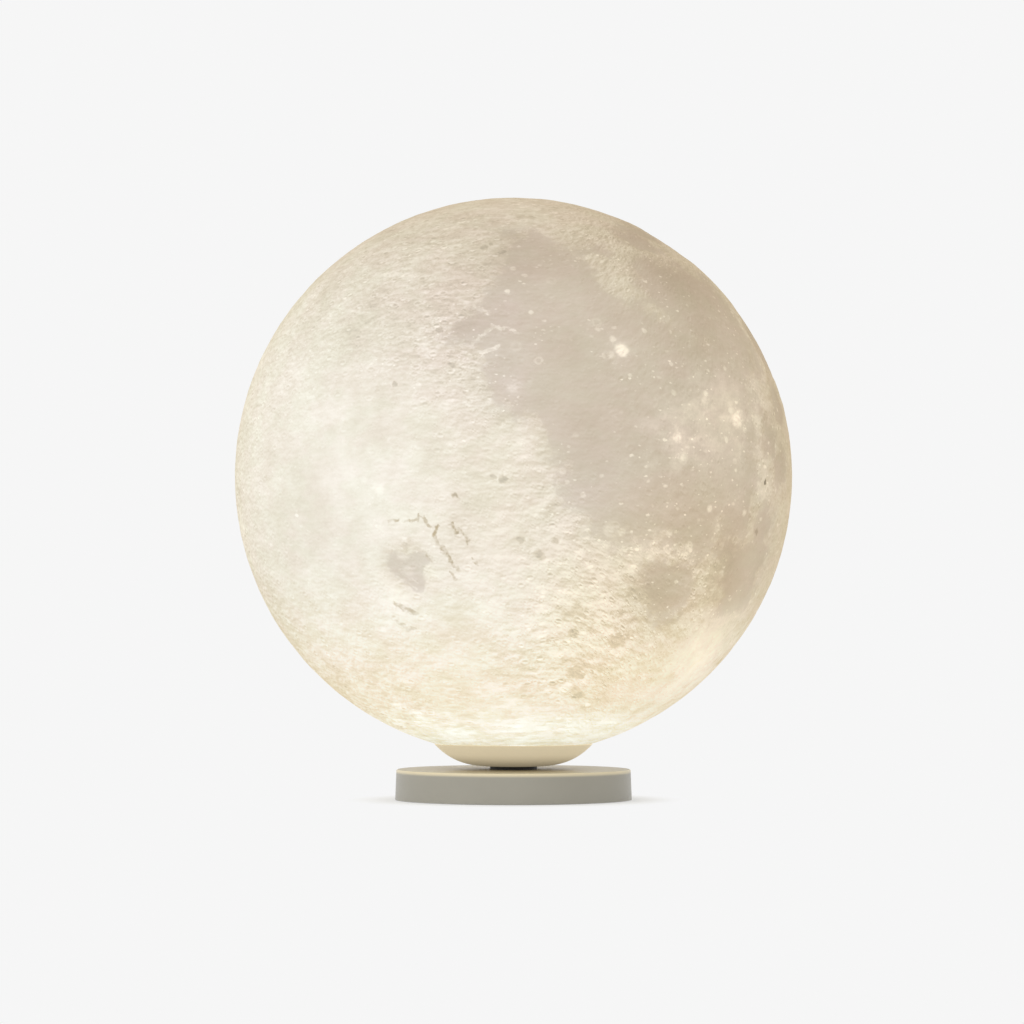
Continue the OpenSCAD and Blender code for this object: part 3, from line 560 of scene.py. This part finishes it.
class Finish:
    """A node material under construction: its Principled shader, and short ways to add nodes."""

    def __init__(self, name, **sockets):
        self.material = bpy.data.materials.new(name)
        self.material.use_nodes = True
        self.tree = self.material.node_tree
        self.shader = self.tree.nodes["Principled BSDF"]
        self.set(**sockets)

    def set(self, **sockets):
        """Sets or links the shader's sockets, with _ for the spaces in their names."""
        for name, value in sockets.items():
            self.join(self.shader.inputs[name.replace("_", " ")], value)

    def join(self, socket, value):
        """Links a socket to another, or gives it a plain value."""
        if isinstance(value, bpy.types.NodeSocket):
            self.tree.links.new(value, socket)
        else:
            socket.default_value = value

    def node(self, kind, values=None, **settings):
        """A new node, with its settings and the values of its inputs."""
        made = self.tree.nodes.new("ShaderNode" + kind)
        for name, value in settings.items():
            setattr(made, name, value)
        for key, value in (values or {}).items():
            self.join(made.inputs[key], value)
        return made

    def place(self):
        """Where the point is, in the part's own metres."""
        return self.node("TexCoord").outputs["Object"]

    def facing(self):
        """The way that the surface faces."""
        return self.node("TexCoord").outputs["Normal"]

    def attribute(self, name):
        """A value that the mesh holds at each point."""
        return self.node("Attribute", attribute_name=name).outputs["Fac"]

    def sum(self, operation, *values):
        """A number worked out from numbers."""
        return self.node("Math", dict(enumerate(values)), operation=operation).outputs[0]

    def vector(self, operation, *values):
        """A vector, or its length or product, worked out from vectors."""
        made = self.node("VectorMath", dict(enumerate(values)), operation=operation)
        single = operation in ("DOT_PRODUCT", "LENGTH", "DISTANCE")
        return made.outputs["Value" if single else "Vector"]

    def scale(self, vector, share):
        """A vector or colour multiplied by a number."""
        return self.node("VectorMath", {0: vector, "Scale": share}, operation="SCALE").outputs["Vector"]

    def parts(self, vector):
        """The three numbers of a vector or colour."""
        return self.node("SeparateXYZ", {0: vector}).outputs

    def noise(self, place, scale, detail=3.0, roughness=0.5):
        """Soft noise from 0 to 1."""
        values = {"Vector": place, "Scale": scale, "Detail": detail, "Roughness": roughness}
        return self.node("TexNoise", values).outputs[0]

    def swing(self, place, scale, detail=3.0, roughness=0.5):
        """Soft noise about 0."""
        return self.sum("SUBTRACT", self.noise(place, scale, detail, roughness), 0.5)

    def cells(self, place, scale):
        """Random cells, with the distance from each cell's point and its own colour."""
        return self.node("TexVoronoi", {"Vector": place, "Scale": scale})

    def fit(self, value, low, high, to_low=0.0, to_high=1.0):
        """A smooth step between two values while the given one goes from low to high."""
        values = {0: value, 1: low, 2: high, 3: to_low, 4: to_high}
        return self.node("MapRange", values, interpolation_type="SMOOTHSTEP").outputs[0]

    def mix(self, share, a, b, blend="MIX"):
        """Colour a, with the share of b."""
        made = self.node("Mix", data_type="RGBA", blend_type=blend)
        self.join(made.inputs[0], share)
        self.join(made.inputs[6], a)
        self.join(made.inputs[7], b)
        return made.outputs[2]

    def tinted(self, colour, share, tint_low, tint_high):
        """A colour multiplied by a tint that goes from the low to the high one."""
        return self.mix(1.0, colour, self.mix(share, tint_low, tint_high), "MULTIPLY")

    def bump(self, height, strength, distance):
        """Fine relief in the shading."""
        made = self.node("Bump", {"Height": height, "Strength": strength, "Distance": distance})
        return made.outputs["Normal"]


def near_places(f, bent, spots):
    """Strength of small round spots of (latitude, longitude, radius, strength), 0 away from them."""
    total = 0.0
    for latitude, longitude, radius, strength in spots:
        far = f.vector("DISTANCE", bent, tuple(towards(latitude, longitude)))
        size = math.radians(radius)
        total = f.sum("MAXIMUM", total, f.fit(far, 0.5 * size, 1.25 * size, strength, 0.0))
    return total


def near_rings(f, bent, rings):
    """Strength of small rings of (latitude, longitude, radius, strength), 0 away from them."""
    total = 0.0
    for latitude, longitude, radius, strength in rings:
        far = f.vector("DISTANCE", bent, tuple(towards(latitude, longitude)))
        size = math.radians(radius)
        off = f.sum("ABSOLUTE", f.sum("SUBTRACT", far, size))
        total = f.sum("MAXIMUM", total, f.fit(off, 0.1 * size, 0.6 * size, strength, 0.0))
    return total


def near_runs(f, bent, runs):
    """Strength of thin lines of (width in degrees, strength, run of places), 0 away from them."""
    total = 0.0
    for width, strength, run in runs:
        size = math.radians(width)
        for a, b in zip(run, run[1:]):
            start, end = towards(*a), towards(*b)
            along = end - start
            from_start = f.vector("SUBTRACT", bent, tuple(start))
            reach = f.vector("DOT_PRODUCT", from_start, tuple(along / (along @ along)))
            share = f.node("Clamp", {0: reach}).outputs[0]
            foot = f.vector("ADD", f.scale(tuple(along), share), tuple(start))
            far = f.vector("DISTANCE", bent, foot)
            total = f.sum("MAXIMUM", total, f.fit(far, 0.3 * size, size, strength, 0.0))
    return total


def bright_dots(f, place, scale, share):
    """1 in small flat dots, in the given share of the cells, else 0."""
    cell = f.cells(f.vector("MULTIPLY", place, (1, 1, 1.6)), scale)
    chance, reach, _ = f.parts(cell.outputs["Color"])
    lit = f.fit(chance, 1 - share, 1 - 0.4 * share)
    size = f.fit(reach, 0, 1, 0.12, 0.3)
    far = f.sum("DIVIDE", cell.outputs["Distance"], size)
    return f.sum("MULTIPLY", f.fit(far, 0.4, 1.0, 1.0, 0.0), lit)


def small_relief(f, place):
    """Fine strokes that lie nearly level, with pits of two sizes."""
    squeeze_up = f.fit(f.parts(place)[0], 0.1, 0.75, 1.8, 0.8)
    squeeze = f.node("CombineXYZ", {0: 1.0, 1: 1.0, 2: squeeze_up}).outputs[0]
    squeezed = f.vector("MULTIPLY", place, squeeze)
    strokes = {"Vector": squeezed, "Scale": 30.0, "Detail": 3.0, "Roughness": 0.6, "Distortion": 0.15}
    height = f.node("TexNoise", strokes).outputs[0]
    for scale, weight in ((24, 0.19), (44, 0.15)):
        pit = f.cells(squeezed, scale)
        chosen = f.fit(f.parts(pit.outputs["Color"])[1], 0.4, 0.8)
        far = pit.outputs["Distance"]
        bowl = f.fit(far, 0.05, 0.3, -1.0, 0.0)
        rim = f.sum("MULTIPLY", f.fit(far, 0.2, 0.32), f.fit(far, 0.32, 0.5, 0.7, 0.0))
        shape = f.sum("MULTIPLY", f.sum("ADD", bowl, rim), chosen)
        height = f.sum("MULTIPLY_ADD", shape, weight, height)
    return height


# The globe's own colours, as light through its wall: the bright land, the dark plains and the grooves
LAND_COLOUR = (0.925, 0.862, 0.75, 1.0)
SEA_COLOUR = (0.735, 0.664, 0.578, 1.0)
GROOVE_COLOUR = (0.49, 0.40, 0.25, 1.0)

# Tints over them: two that take turns, of dim and bright places, and of dim places low on the globe
PINKER = (1.008, 0.991, 0.997, 1.0)
GREENER = (0.993, 1.004, 0.987, 1.0)
DIM_TINT = (1.0, 0.975, 0.93, 1)
BRIGHT_TINT = (1.0, 1.01, 1.03, 1)
LOW_TINT = (1.01, 0.965, 0.87, 1)

# Colour of the thin skin that darkens the globe towards its edge
SKIN_TINT = (0.963, 0.95, 0.92, 1.0)

# Range over which noise pushes edges about, as a share of the globe's radius: a small one for the
# bright spots, and a wide one for dark spots and lines
SMALL_SWAY = 0.014
WIDE_SWAY = 0.032

# Step towards a painted light, over which the small relief is compared to paint each stroke lit and shaded
PAINTED_LIGHT_STEP = (-0.0025, -0.001, 0.007)

# Where the glow is stronger, weaker or warmer: direction, inner and outer angle, and the light there
GLOW_LOBES = [
    (towards(88, VIEW_LONGITUDE), 8, 62, (0.85, 0.82, 0.795)),
    (towards(22, -2), 14, 70, (0.912, 0.864, 0.79)),
    (towards(-86, VIEW_LONGITUDE), 14, 70, (1.18, 1.21, 1.25)),
    (towards(-88, -110), 8, 38, (1.19, 1.33, 1.53)),
    (towards(30, -84), 4, 24, (1.0, 0.978, 1.0)),
    (towards(28, -42), 4, 24, (1.005, 1.02, 1.03)),
    (towards(5, -135), 10, 75, (1.035, 1.085, 1.16)),
    (towards(38, -100), 6, 34, (0.94, 0.93, 0.91)),
    (towards(-28, -34), 6, 34, (1.01, 0.975, 0.895)),
    (towards(-34, -84), 4, 22, (1.02, 1.035, 1.05)),
    (towards(-20.5, -94.5), 2, 8, (0.985, 0.972, 0.94)),
]


def sea_cover(f, cloudy):
    """Share of the seas' colour: ragged at the shore, with a soft band inside and a faint one outside."""
    depth = f.attribute("sea_depth")
    crisp = f.fit(f.sum("MULTIPLY_ADD", cloudy, 24.0, depth), -1.2, 1.6, 0.0, 0.45)
    soft = f.fit(f.sum("MULTIPLY_ADD", cloudy, 9.0, depth), -5.5, 5.0, 0.0, 0.33)
    faint = f.fit(f.sum("MULTIPLY_ADD", cloudy, 12.0, depth), -13.0, 1.0, 0.0, 0.22)
    return f.sum("ADD", f.sum("ADD", crisp, soft), faint)


def strewn_dots(f, unit, steadier, sea):
    """Small bright dots, crowded near young craters and on rough ground."""
    dots = f.sum("MAXIMUM", bright_dots(f, steadier, 19, 0.8), bright_dots(f, steadier, 37, 0.9))
    crowded = f.sum("MULTIPLY_ADD", f.attribute("ray"), 3.0, f.attribute("rough"))
    crowded = f.sum("MULTIPLY_ADD", f.swing(unit, 7, 3), 5.0, crowded)
    dots = f.sum("MULTIPLY", dots, f.fit(crowded, 0.3, 1.5))
    return f.sum("MULTIPLY", dots, f.fit(sea, 0.3, 0.95, 1.0, 0.85))


def map_marks(f, unit, sea):
    """How strong each kind of small mark on the map is, by the kind's name."""
    wobble = f.node("TexNoise", {"Vector": unit, "Scale": 46.0, "Detail": 3.0}).outputs["Color"]
    sway = f.vector("SUBTRACT", wobble, (0.5, 0.5, 0.5))
    bent = f.vector("ADD", unit, f.scale(sway, WIDE_SWAY))
    steadier = f.vector("ADD", unit, f.scale(sway, SMALL_SWAY))
    broken = f.fit(f.noise(unit, 50, 2), 0.36, 0.6, 0.3, 0.85)
    patchy = f.fit(f.noise(unit, 13, 6, 0.7), 0.36, 0.64, 0.3, 1.6)
    return {
        "white": f.sum("MAXIMUM", near_places(f, steadier, BRIGHT_SPOTS), near_rings(f, steadier, RINGS)),
        "dots": strewn_dots(f, unit, steadier, sea),
        "streak": f.sum("MULTIPLY", near_runs(f, bent, STREAKS), broken),
        "rays": f.sum("MULTIPLY", f.attribute("ray"), patchy),
        "dark": near_places(f, bent, DARK_SPOTS),
        "groove": f.sum("MULTIPLY", near_runs(f, bent, GROOVES), broken),
    }


def cleared(f, sea, marks):
    """The sea's cover, lifted where bright marks lie on it."""
    pale = f.sum("MAXIMUM", f.sum("MAXIMUM", marks["white"], marks["dots"]), marks["streak"])
    pale = f.sum("MINIMUM", f.sum("MULTIPLY_ADD", marks["rays"], 1.5, pale), 1.0)
    return f.sum("MULTIPLY", sea, f.sum("MULTIPLY_ADD", pale, -0.85, 1.0))


def glow_strength(f, unit, cloudy, sea, marks, raised):
    """How much light comes through the wall: clouds, bands, threads, marks and painted relief shading."""
    rough = f.sum("MULTIPLY", f.attribute("rough"), f.fit(sea, 0.2, 1, 1.0, 0.32))
    beside_towards_painted_light = small_relief(f, f.vector("ADD", unit, PAINTED_LIGHT_STEP))
    # Painted light and shade: the relief against itself one step towards the painted light
    grain = f.sum("MULTIPLY", f.sum("SUBTRACT", raised, beside_towards_painted_light), rough)
    bands = f.swing(f.vector("MULTIPLY", unit, (1, 1, 3.0)), 12, 6, 0.62)
    threads = f.swing(f.vector("MULTIPLY", unit, (1, 1, 11)), 9, 3, 0.6)
    thread_share = f.fit(f.parts(unit)[2], -0.74, -0.92, 0.05, 0.4)
    painted_grain_share = f.fit(f.attribute("rough"), 0.8, 1.9, 0.62, 0.42)

    bright = f.sum("ADD", f.sum("ADD", f.attribute("tone"), 1.0), marks["rays"])
    bright = f.sum("MULTIPLY_ADD", cloudy, f.fit(sea, 0, 1, 0.4, 0.22), bright)
    bright = f.sum("MULTIPLY_ADD", bands, f.sum("MULTIPLY", rough, 0.30), bright)
    bright = f.sum("MULTIPLY_ADD", threads, thread_share, bright)
    bright = f.sum("MULTIPLY_ADD", grain, painted_grain_share, bright)
    # Painted light and shade on the relief's slants
    bright = f.sum("MULTIPLY_ADD", f.attribute("painted_slope_shade"), f.sum("MULTIPLY", rough, 0.75), bright)
    bright = f.sum("MULTIPLY_ADD", marks["dots"], 0.17, bright)
    bright = f.sum("MULTIPLY_ADD", f.sum("ADD", marks["white"], marks["streak"]), 0.10, bright)
    return f.sum("MULTIPLY", bright, f.sum("MULTIPLY_ADD", marks["dark"], -0.5, 1.0))


def glow_colour(f, unit, sea, bright, groove):
    """Colour of the light through the wall: land and seas, the lobes of the glow, and fine tints."""
    colour = f.mix(sea, LAND_COLOUR, SEA_COLOUR)
    for middle, inner, outer, light in GLOW_LOBES:
        along = f.vector("DOT_PRODUCT", unit, tuple(middle))
        reach = f.fit(along, math.cos(math.radians(outer)), math.cos(math.radians(inner)))
        colour = f.tinted(colour, reach, WHITE, (*light, 1))
    colour = f.tinted(colour, f.fit(bright, 0.86, 1.14), DIM_TINT, BRIGHT_TINT)
    low = f.fit(f.parts(unit)[2], -0.25, -0.8)
    golden = f.sum("MULTIPLY", f.fit(bright, 0.9, 1.1, 1.0, 0.0), low)
    colour = f.tinted(colour, golden, WHITE, LOW_TINT)
    turns = f.noise(f.vector("MULTIPLY", unit, (1, 1, 1.6)), 7, 5, 0.6)
    colour = f.tinted(colour, f.fit(turns, 0.36, 0.64), PINKER, GREENER)
    return f.mix(groove, colour, GROOVE_COLOUR)


def moon_outside():
    """Streaked, cratered white plastic that glows, with the map's seas, rays and spots."""
    f = Finish(
        "moon_outside", Roughness=0.62, Specular_IOR_Level=0.12, Emission_Strength=0.5,
        Coat_Weight=1.0, Coat_IOR=1.02, Coat_Roughness=0.6, Coat_Tint=SKIN_TINT,
    )
    unit = f.vector("NORMALIZE", f.vector("SUBTRACT", f.place(), (0, 0, MOON_Z)))
    cloudy = f.swing(unit, 8, 10, 0.7)
    shores = sea_cover(f, cloudy)
    marks = map_marks(f, unit, shores)
    sea = cleared(f, shores, marks)
    raised = small_relief(f, unit)
    bright = glow_strength(f, unit, cloudy, sea, marks, raised)
    painted = f.scale(glow_colour(f, unit, sea, bright, marks["groove"]), bright)

    lines = {"Vector": f.place(), "Scale": 420.0, "Distortion": 0.4, "Detail": 1.0}
    layers = f.node("TexWave", lines, bands_direction="Z").outputs["Fac"]
    height = f.sum("MULTIPLY_ADD", layers, 0.1, raised)
    # The surface colour is half the glow, so the glow's lobes and the painted relief shade are painted into
    # it too
    f.set(
        Base_Color=f.scale(painted, 0.5),
        Emission_Color=painted,
        Normal=f.bump(height, 0.3, 0.2 * MM),
    )
    return f.material


def moon_inside():
    """The globe's smooth inner face and foot, evenly lit from inside."""
    f = Finish("moon_inside", Roughness=0.5, Emission_Strength=0.6)
    mottle = f.noise(f.place(), 60, 3)
    colour = f.mix(f.fit(mottle, 0.3, 0.7), linear(247, 236, 208), linear(252, 245, 226))
    f.set(Base_Color=f.scale(colour, 0.3), Emission_Color=colour)
    return f.material


def coated(name, colour, roughness, spread=0.06, grain=900, depth=0.02, **sockets):
    """Paint or plastic: mottled a little, with a fine orange peel and uneven gloss."""
    f = Finish(name, **sockets)
    place = f.place()
    cloudy = f.noise(place, 38, 4, 0.6)
    fine = f.noise(place, grain, 2, 0.5)
    f.set(
        Base_Color=f.mix(f.fit(cloudy, 0.3, 0.7), shaded(colour, 1 - spread), shaded(colour, 1 + spread)),
        Roughness=f.fit(fine, 0.25, 0.75, roughness - 0.05, roughness + 0.05),
        Normal=f.bump(fine, depth, 0.1 * MM),
    )
    return f


def base_paint():
    """Warm grey paint with the globe's light painted on: a pale highlight on the rounded edge, a warmer
    top.
    """
    f = coated("base_paint", linear(163, 160, 150), 0.36, 0.02, 700, 0.01, Specular_IOR_Level=0.3)
    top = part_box("base_housing")[1].z
    painted_highlight_share = f.fit(f.parts(f.place())[2], top - 1.6 * MM, top - 0.5 * MM)
    side = f.shader.inputs["Base Color"].links[0].from_socket
    # Painted highlight: the rounded top edge is paler, for the globe's light that it catches
    edge = f.mix(painted_highlight_share, side, linear(226, 214, 184))
    # Painted light: the top face is warmer and paler, for the globe's warm light that falls on it
    level = f.fit(f.parts(f.facing())[2], 0.9, 0.99)
    f.set(Base_Color=f.mix(level, edge, linear(177, 165, 138)))
    return f


def dish_paint():
    """Cream paint with a painted glow for the globe's light on it, dim at the foot and strongest higher up.
    """
    sockets = {"Specular_IOR_Level": 0.2, "Emission_Strength": 1.0}
    f = coated("dish_paint", linear(161, 152, 132), 0.42, 0.03, 900, 0.02, **sockets)
    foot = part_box("dish")[0].z
    reach = f.fit(f.parts(f.place())[2], foot - 0.5 * MM, foot + 5 * MM)
    # Painted glow: the dish is no lamp, and this light stands for the globe's light falling on it
    f.set(Emission_Color=f.mix(reach, (0.14, 0.122, 0.085, 1), (0.445, 0.385, 0.27, 1)))
    return f


def metal(name, colour, roughness, direction="Z", lines=260):
    """Bare metal with turned or drawn lines and light stains."""
    f = Finish(name, Metallic=1.0)
    place = f.place()
    drawn = {"Vector": place, "Scale": float(lines), "Distortion": 3.0, "Detail": 3.0}
    waves = f.node("TexWave", drawn, bands_direction=direction).outputs["Fac"]
    stain = f.noise(place, 120, 4, 0.6)
    f.set(
        Base_Color=f.mix(f.fit(stain, 0.3, 0.7), shaded(colour, 0.82), colour),
        Roughness=f.fit(stain, 0.2, 0.8, roughness - 0.06, roughness + 0.08),
        Normal=f.bump(waves, 0.08, 0.05 * MM),
    )
    return f


def circuit(name, mask, trace):
    """A circuit board: a solder mask over a net of traces and pads."""
    f = Finish(name, Roughness=0.34)
    place = f.place()
    colours = {"Color1": mask, "Color2": mask, "Mortar": trace}
    net = {"Vector": place, "Scale": 300.0, "Mortar Size": 0.06, **colours}
    bricks = f.node("TexBrick", net, offset=0.37, squash=1.6)
    pads = f.fit(f.cells(place, 420).outputs["Distance"], 0.16, 0.2, 1.0, 0.0)
    f.set(
        Base_Color=f.mix(pads, bricks.outputs["Color"], linear(205, 198, 176)),
        Normal=f.bump(bricks.outputs["Fac"], 0.2, 0.03 * MM),
    )
    return f


def glowing(name, colour, strength, roughness):
    """Lit plastic: a milky body whose glow is a little uneven."""
    f = Finish(name, Roughness=roughness, Emission_Strength=strength)
    uneven = f.noise(f.place(), 90, 3)
    shade = f.mix(f.fit(uneven, 0.3, 0.7), shaded(colour, 0.93), colour)
    f.set(Base_Color=f.scale(shade, 0.4), Emission_Color=shade)
    return f


def dress(finish, *names):
    """Gives CAD nodes a finish."""
    for name in names:
        slots = frame["nodes"][name].data.materials
        slots.clear()
        slots.append(finish.material)


def dress_base():
    """Finishes of the base, its plate, pad, screws, weights and tube, and of the dish."""
    dress(base_paint(), "base_housing")
    dress(dish_paint(), "dish")
    dress(coated("pad_foam", linear(44, 45, 46), 0.9, 0.2, 1200, 0.6), "base_pad")
    dress(metal("plate_steel", linear(176, 180, 184), 0.4, "X", 200), "base_plate")
    screws = ("base_plate_screws", "board_screws", "light_board_screws")
    dress(metal("screw_steel", linear(186, 189, 192), 0.3), *screws)
    dress(metal("washer_steel", linear(190, 193, 196), 0.28), "tube_washers")
    dress(metal("cast_steel", linear(112, 114, 118), 0.55, "Y", 90), "ballast_weights")
    dress(metal("brass", linear(206, 176, 106), 0.3, "Z", 900), "threaded_tube", "tube_nuts")


def dress_electronics():
    """Finishes of the battery, the boards, the socket and the button, and of the neck."""
    dress(metal("socket_metal", linear(196, 199, 202), 0.25), "socket_shell")
    dress(metal("battery_foil", linear(198, 200, 204), 0.38, "X", 60), "battery_cell")
    dress(coated("tape_foam", linear(226, 222, 210), 0.9, 0.08, 800, 0.5), "battery_tape")
    dress(coated("lead_black", linear(34, 35, 37), 0.45, 0.15, 900, 0.1), "battery_leads", "light_leads")
    dress(coated("connector_white", linear(236, 233, 222), 0.4), "battery_connector")
    dress(circuit("board_green", linear(32, 94, 62), linear(44, 120, 80)), "control_board")
    dress(circuit("board_white", linear(236, 236, 230), linear(222, 222, 214)), "light_board")
    black = coated("chip_black", linear(30, 31, 33), 0.5, 0.2, 1400, 0.1)
    # The neck spacer takes this black too, which paints the shade of the gap under the dish
    dress(black, "board_chips", "switch_body", "neck_spacer")
    dress(coated("tongue_black", linear(26, 27, 29), 0.4, 0.2), "socket_tongue")
    ivory = coated("button_white", linear(226, 222, 210), 0.36, 0.03, 1400, 0.06)
    dress(ivory, "push_button", "switch_plunger")


def dress_light():
    """Finishes of what carries the globe and of what glows."""
    dress(metal("turned_alloy", linear(205, 207, 209), 0.32, "Z", 700), "light_carrier")
    dress(coated("slip_white", linear(240, 238, 230), 0.3, 0.03), "slip_ring")
    dress(coated("collar_white", linear(243, 236, 216), 0.42, 0.03), "moon_collar")
    dress(glowing("charge_pipe", linear(226, 236, 224), 0.4, 0.25), "charge_light_pipe")
    dress(glowing("light_phosphor", linear(255, 236, 178), 0.8, 0.4), "light_chips")
    dress(glowing("diffuser_opal", linear(253, 245, 225), 0.6, 0.35), "diffuser")


# ---------------------------------------------------------------- stage, lights and camera


def seen_directly(tree):
    """1 for camera, glossy and transmission rays, 0 for the rays that carry soft light."""
    rays = tree.nodes.new("ShaderNodeLightPath")
    total = rays.outputs["Is Camera Ray"]
    for name in ("Is Glossy Ray", "Is Transmission Ray"):
        step = tree.nodes.new("ShaderNodeMath")
        step.operation = "MAXIMUM"
        tree.links.new(total, step.inputs[0])
        tree.links.new(rays.outputs[name], step.inputs[1])
        total = step.outputs[0]
    return total


def make_world():
    """Even light from all round, and the backdrop that is seen behind the object."""
    world = bpy.data.worlds.new("soft_room")
    world.use_nodes = True
    bpy.context.scene.world = world
    tree = world.node_tree
    background = tree.nodes["Background"]
    background.inputs["Color"].default_value = WHITE
    strength = tree.nodes.new("ShaderNodeMapRange")
    tree.links.new(seen_directly(tree), strength.inputs[0])
    strength.inputs[3].default_value = WORLD_LIGHT
    strength.inputs[4].default_value = BACKDROP
    tree.links.new(strength.outputs[0], background.inputs["Strength"])


def make_floor():
    """A matt floor that shows the object's shadow close to the base and is plain further out."""
    mesh = bpy.data.meshes.new("floor")
    corners = [(x * FLOOR_HALF, y * FLOOR_HALF, 0) for x, y in ((-1, -1), (1, -1), (1, 1), (-1, 1))]
    mesh.from_pydata(corners, [], [(0, 1, 2, 3)])
    floor = bpy.data.objects.new("floor", mesh)
    bpy.context.scene.collection.objects.link(floor)
    f = Finish("floor_paper")
    tree = f.tree
    tree.nodes.remove(f.shader)
    matt = f.node("BsdfDiffuse", {"Color": (FLOOR_GREY, FLOOR_GREY, FLOOR_GREY, 1)})
    plain = f.node("Emission", {"Color": WHITE, "Strength": BACKDROP})
    away = f.vector("LENGTH", f.place())
    open_floor = f.fit(away, SHADOW_NEAR, SHADOW_FAR, 1 - SHADOW_SHARE, 1.0)
    share = f.sum("MULTIPLY", seen_directly(tree), open_floor)
    both = f.node("MixShader", {0: share, 1: matt.outputs[0], 2: plain.outputs[0]})
    tree.links.new(both.outputs[0], tree.nodes["Material Output"].inputs["Surface"])
    mesh.materials.append(f.material)


def area_light(name, place, aim, width, height, power):
    """A soft rectangular lamp at a place, turned towards its aim."""
    data = bpy.data.lights.new(name, "AREA")
    data.shape = "RECTANGLE"
    data.size, data.size_y = width, height
    data.energy = power
    light = bpy.data.objects.new(name, data)
    bpy.context.scene.collection.objects.link(light)
    light.location = place
    light.rotation_euler = (Vector(aim) - Vector(place)).to_track_quat("-Z", "Y").to_euler()


def make_lights():
    """Two large soft lamps aimed at the object, and a narrow one at the right for the base's side."""
    middle = (0, 0, 0.1)
    area_light("key_left", (-1.5, -1.3, 1.1), middle, 1.2, 1.2, 11)
    area_light("fill_front", (-0.2, -1.9, 0.7), middle, 1.0, 0.9, 1.5)
    area_light("strip_right", (1.2, -0.05, 0.08), (0, 0, 0.01), 0.03, 0.2, 0.12)


def make_camera():
    """The camera, in front of the object and a little above the floor."""
    data = bpy.data.cameras.new("camera")
    data.lens = CAMERA_LENS
    data.sensor_width = CAMERA_SENSOR
    data.clip_end = CAMERA_REACH
    camera = bpy.data.objects.new("camera", data)
    bpy.context.scene.collection.objects.link(camera)
    camera.location = (0, -CAMERA_DISTANCE, CAMERA_HEIGHT)
    camera.rotation_euler = (math.radians(90 + CAMERA_PITCH), 0, math.radians(CAMERA_YAW))
    bpy.context.scene.camera = camera


make_moon()
dress_base()
dress_electronics()
dress_light()
make_world()
make_floor()
make_lights()
make_camera()
bpy.context.scene.view_settings.view_transform = "Standard"
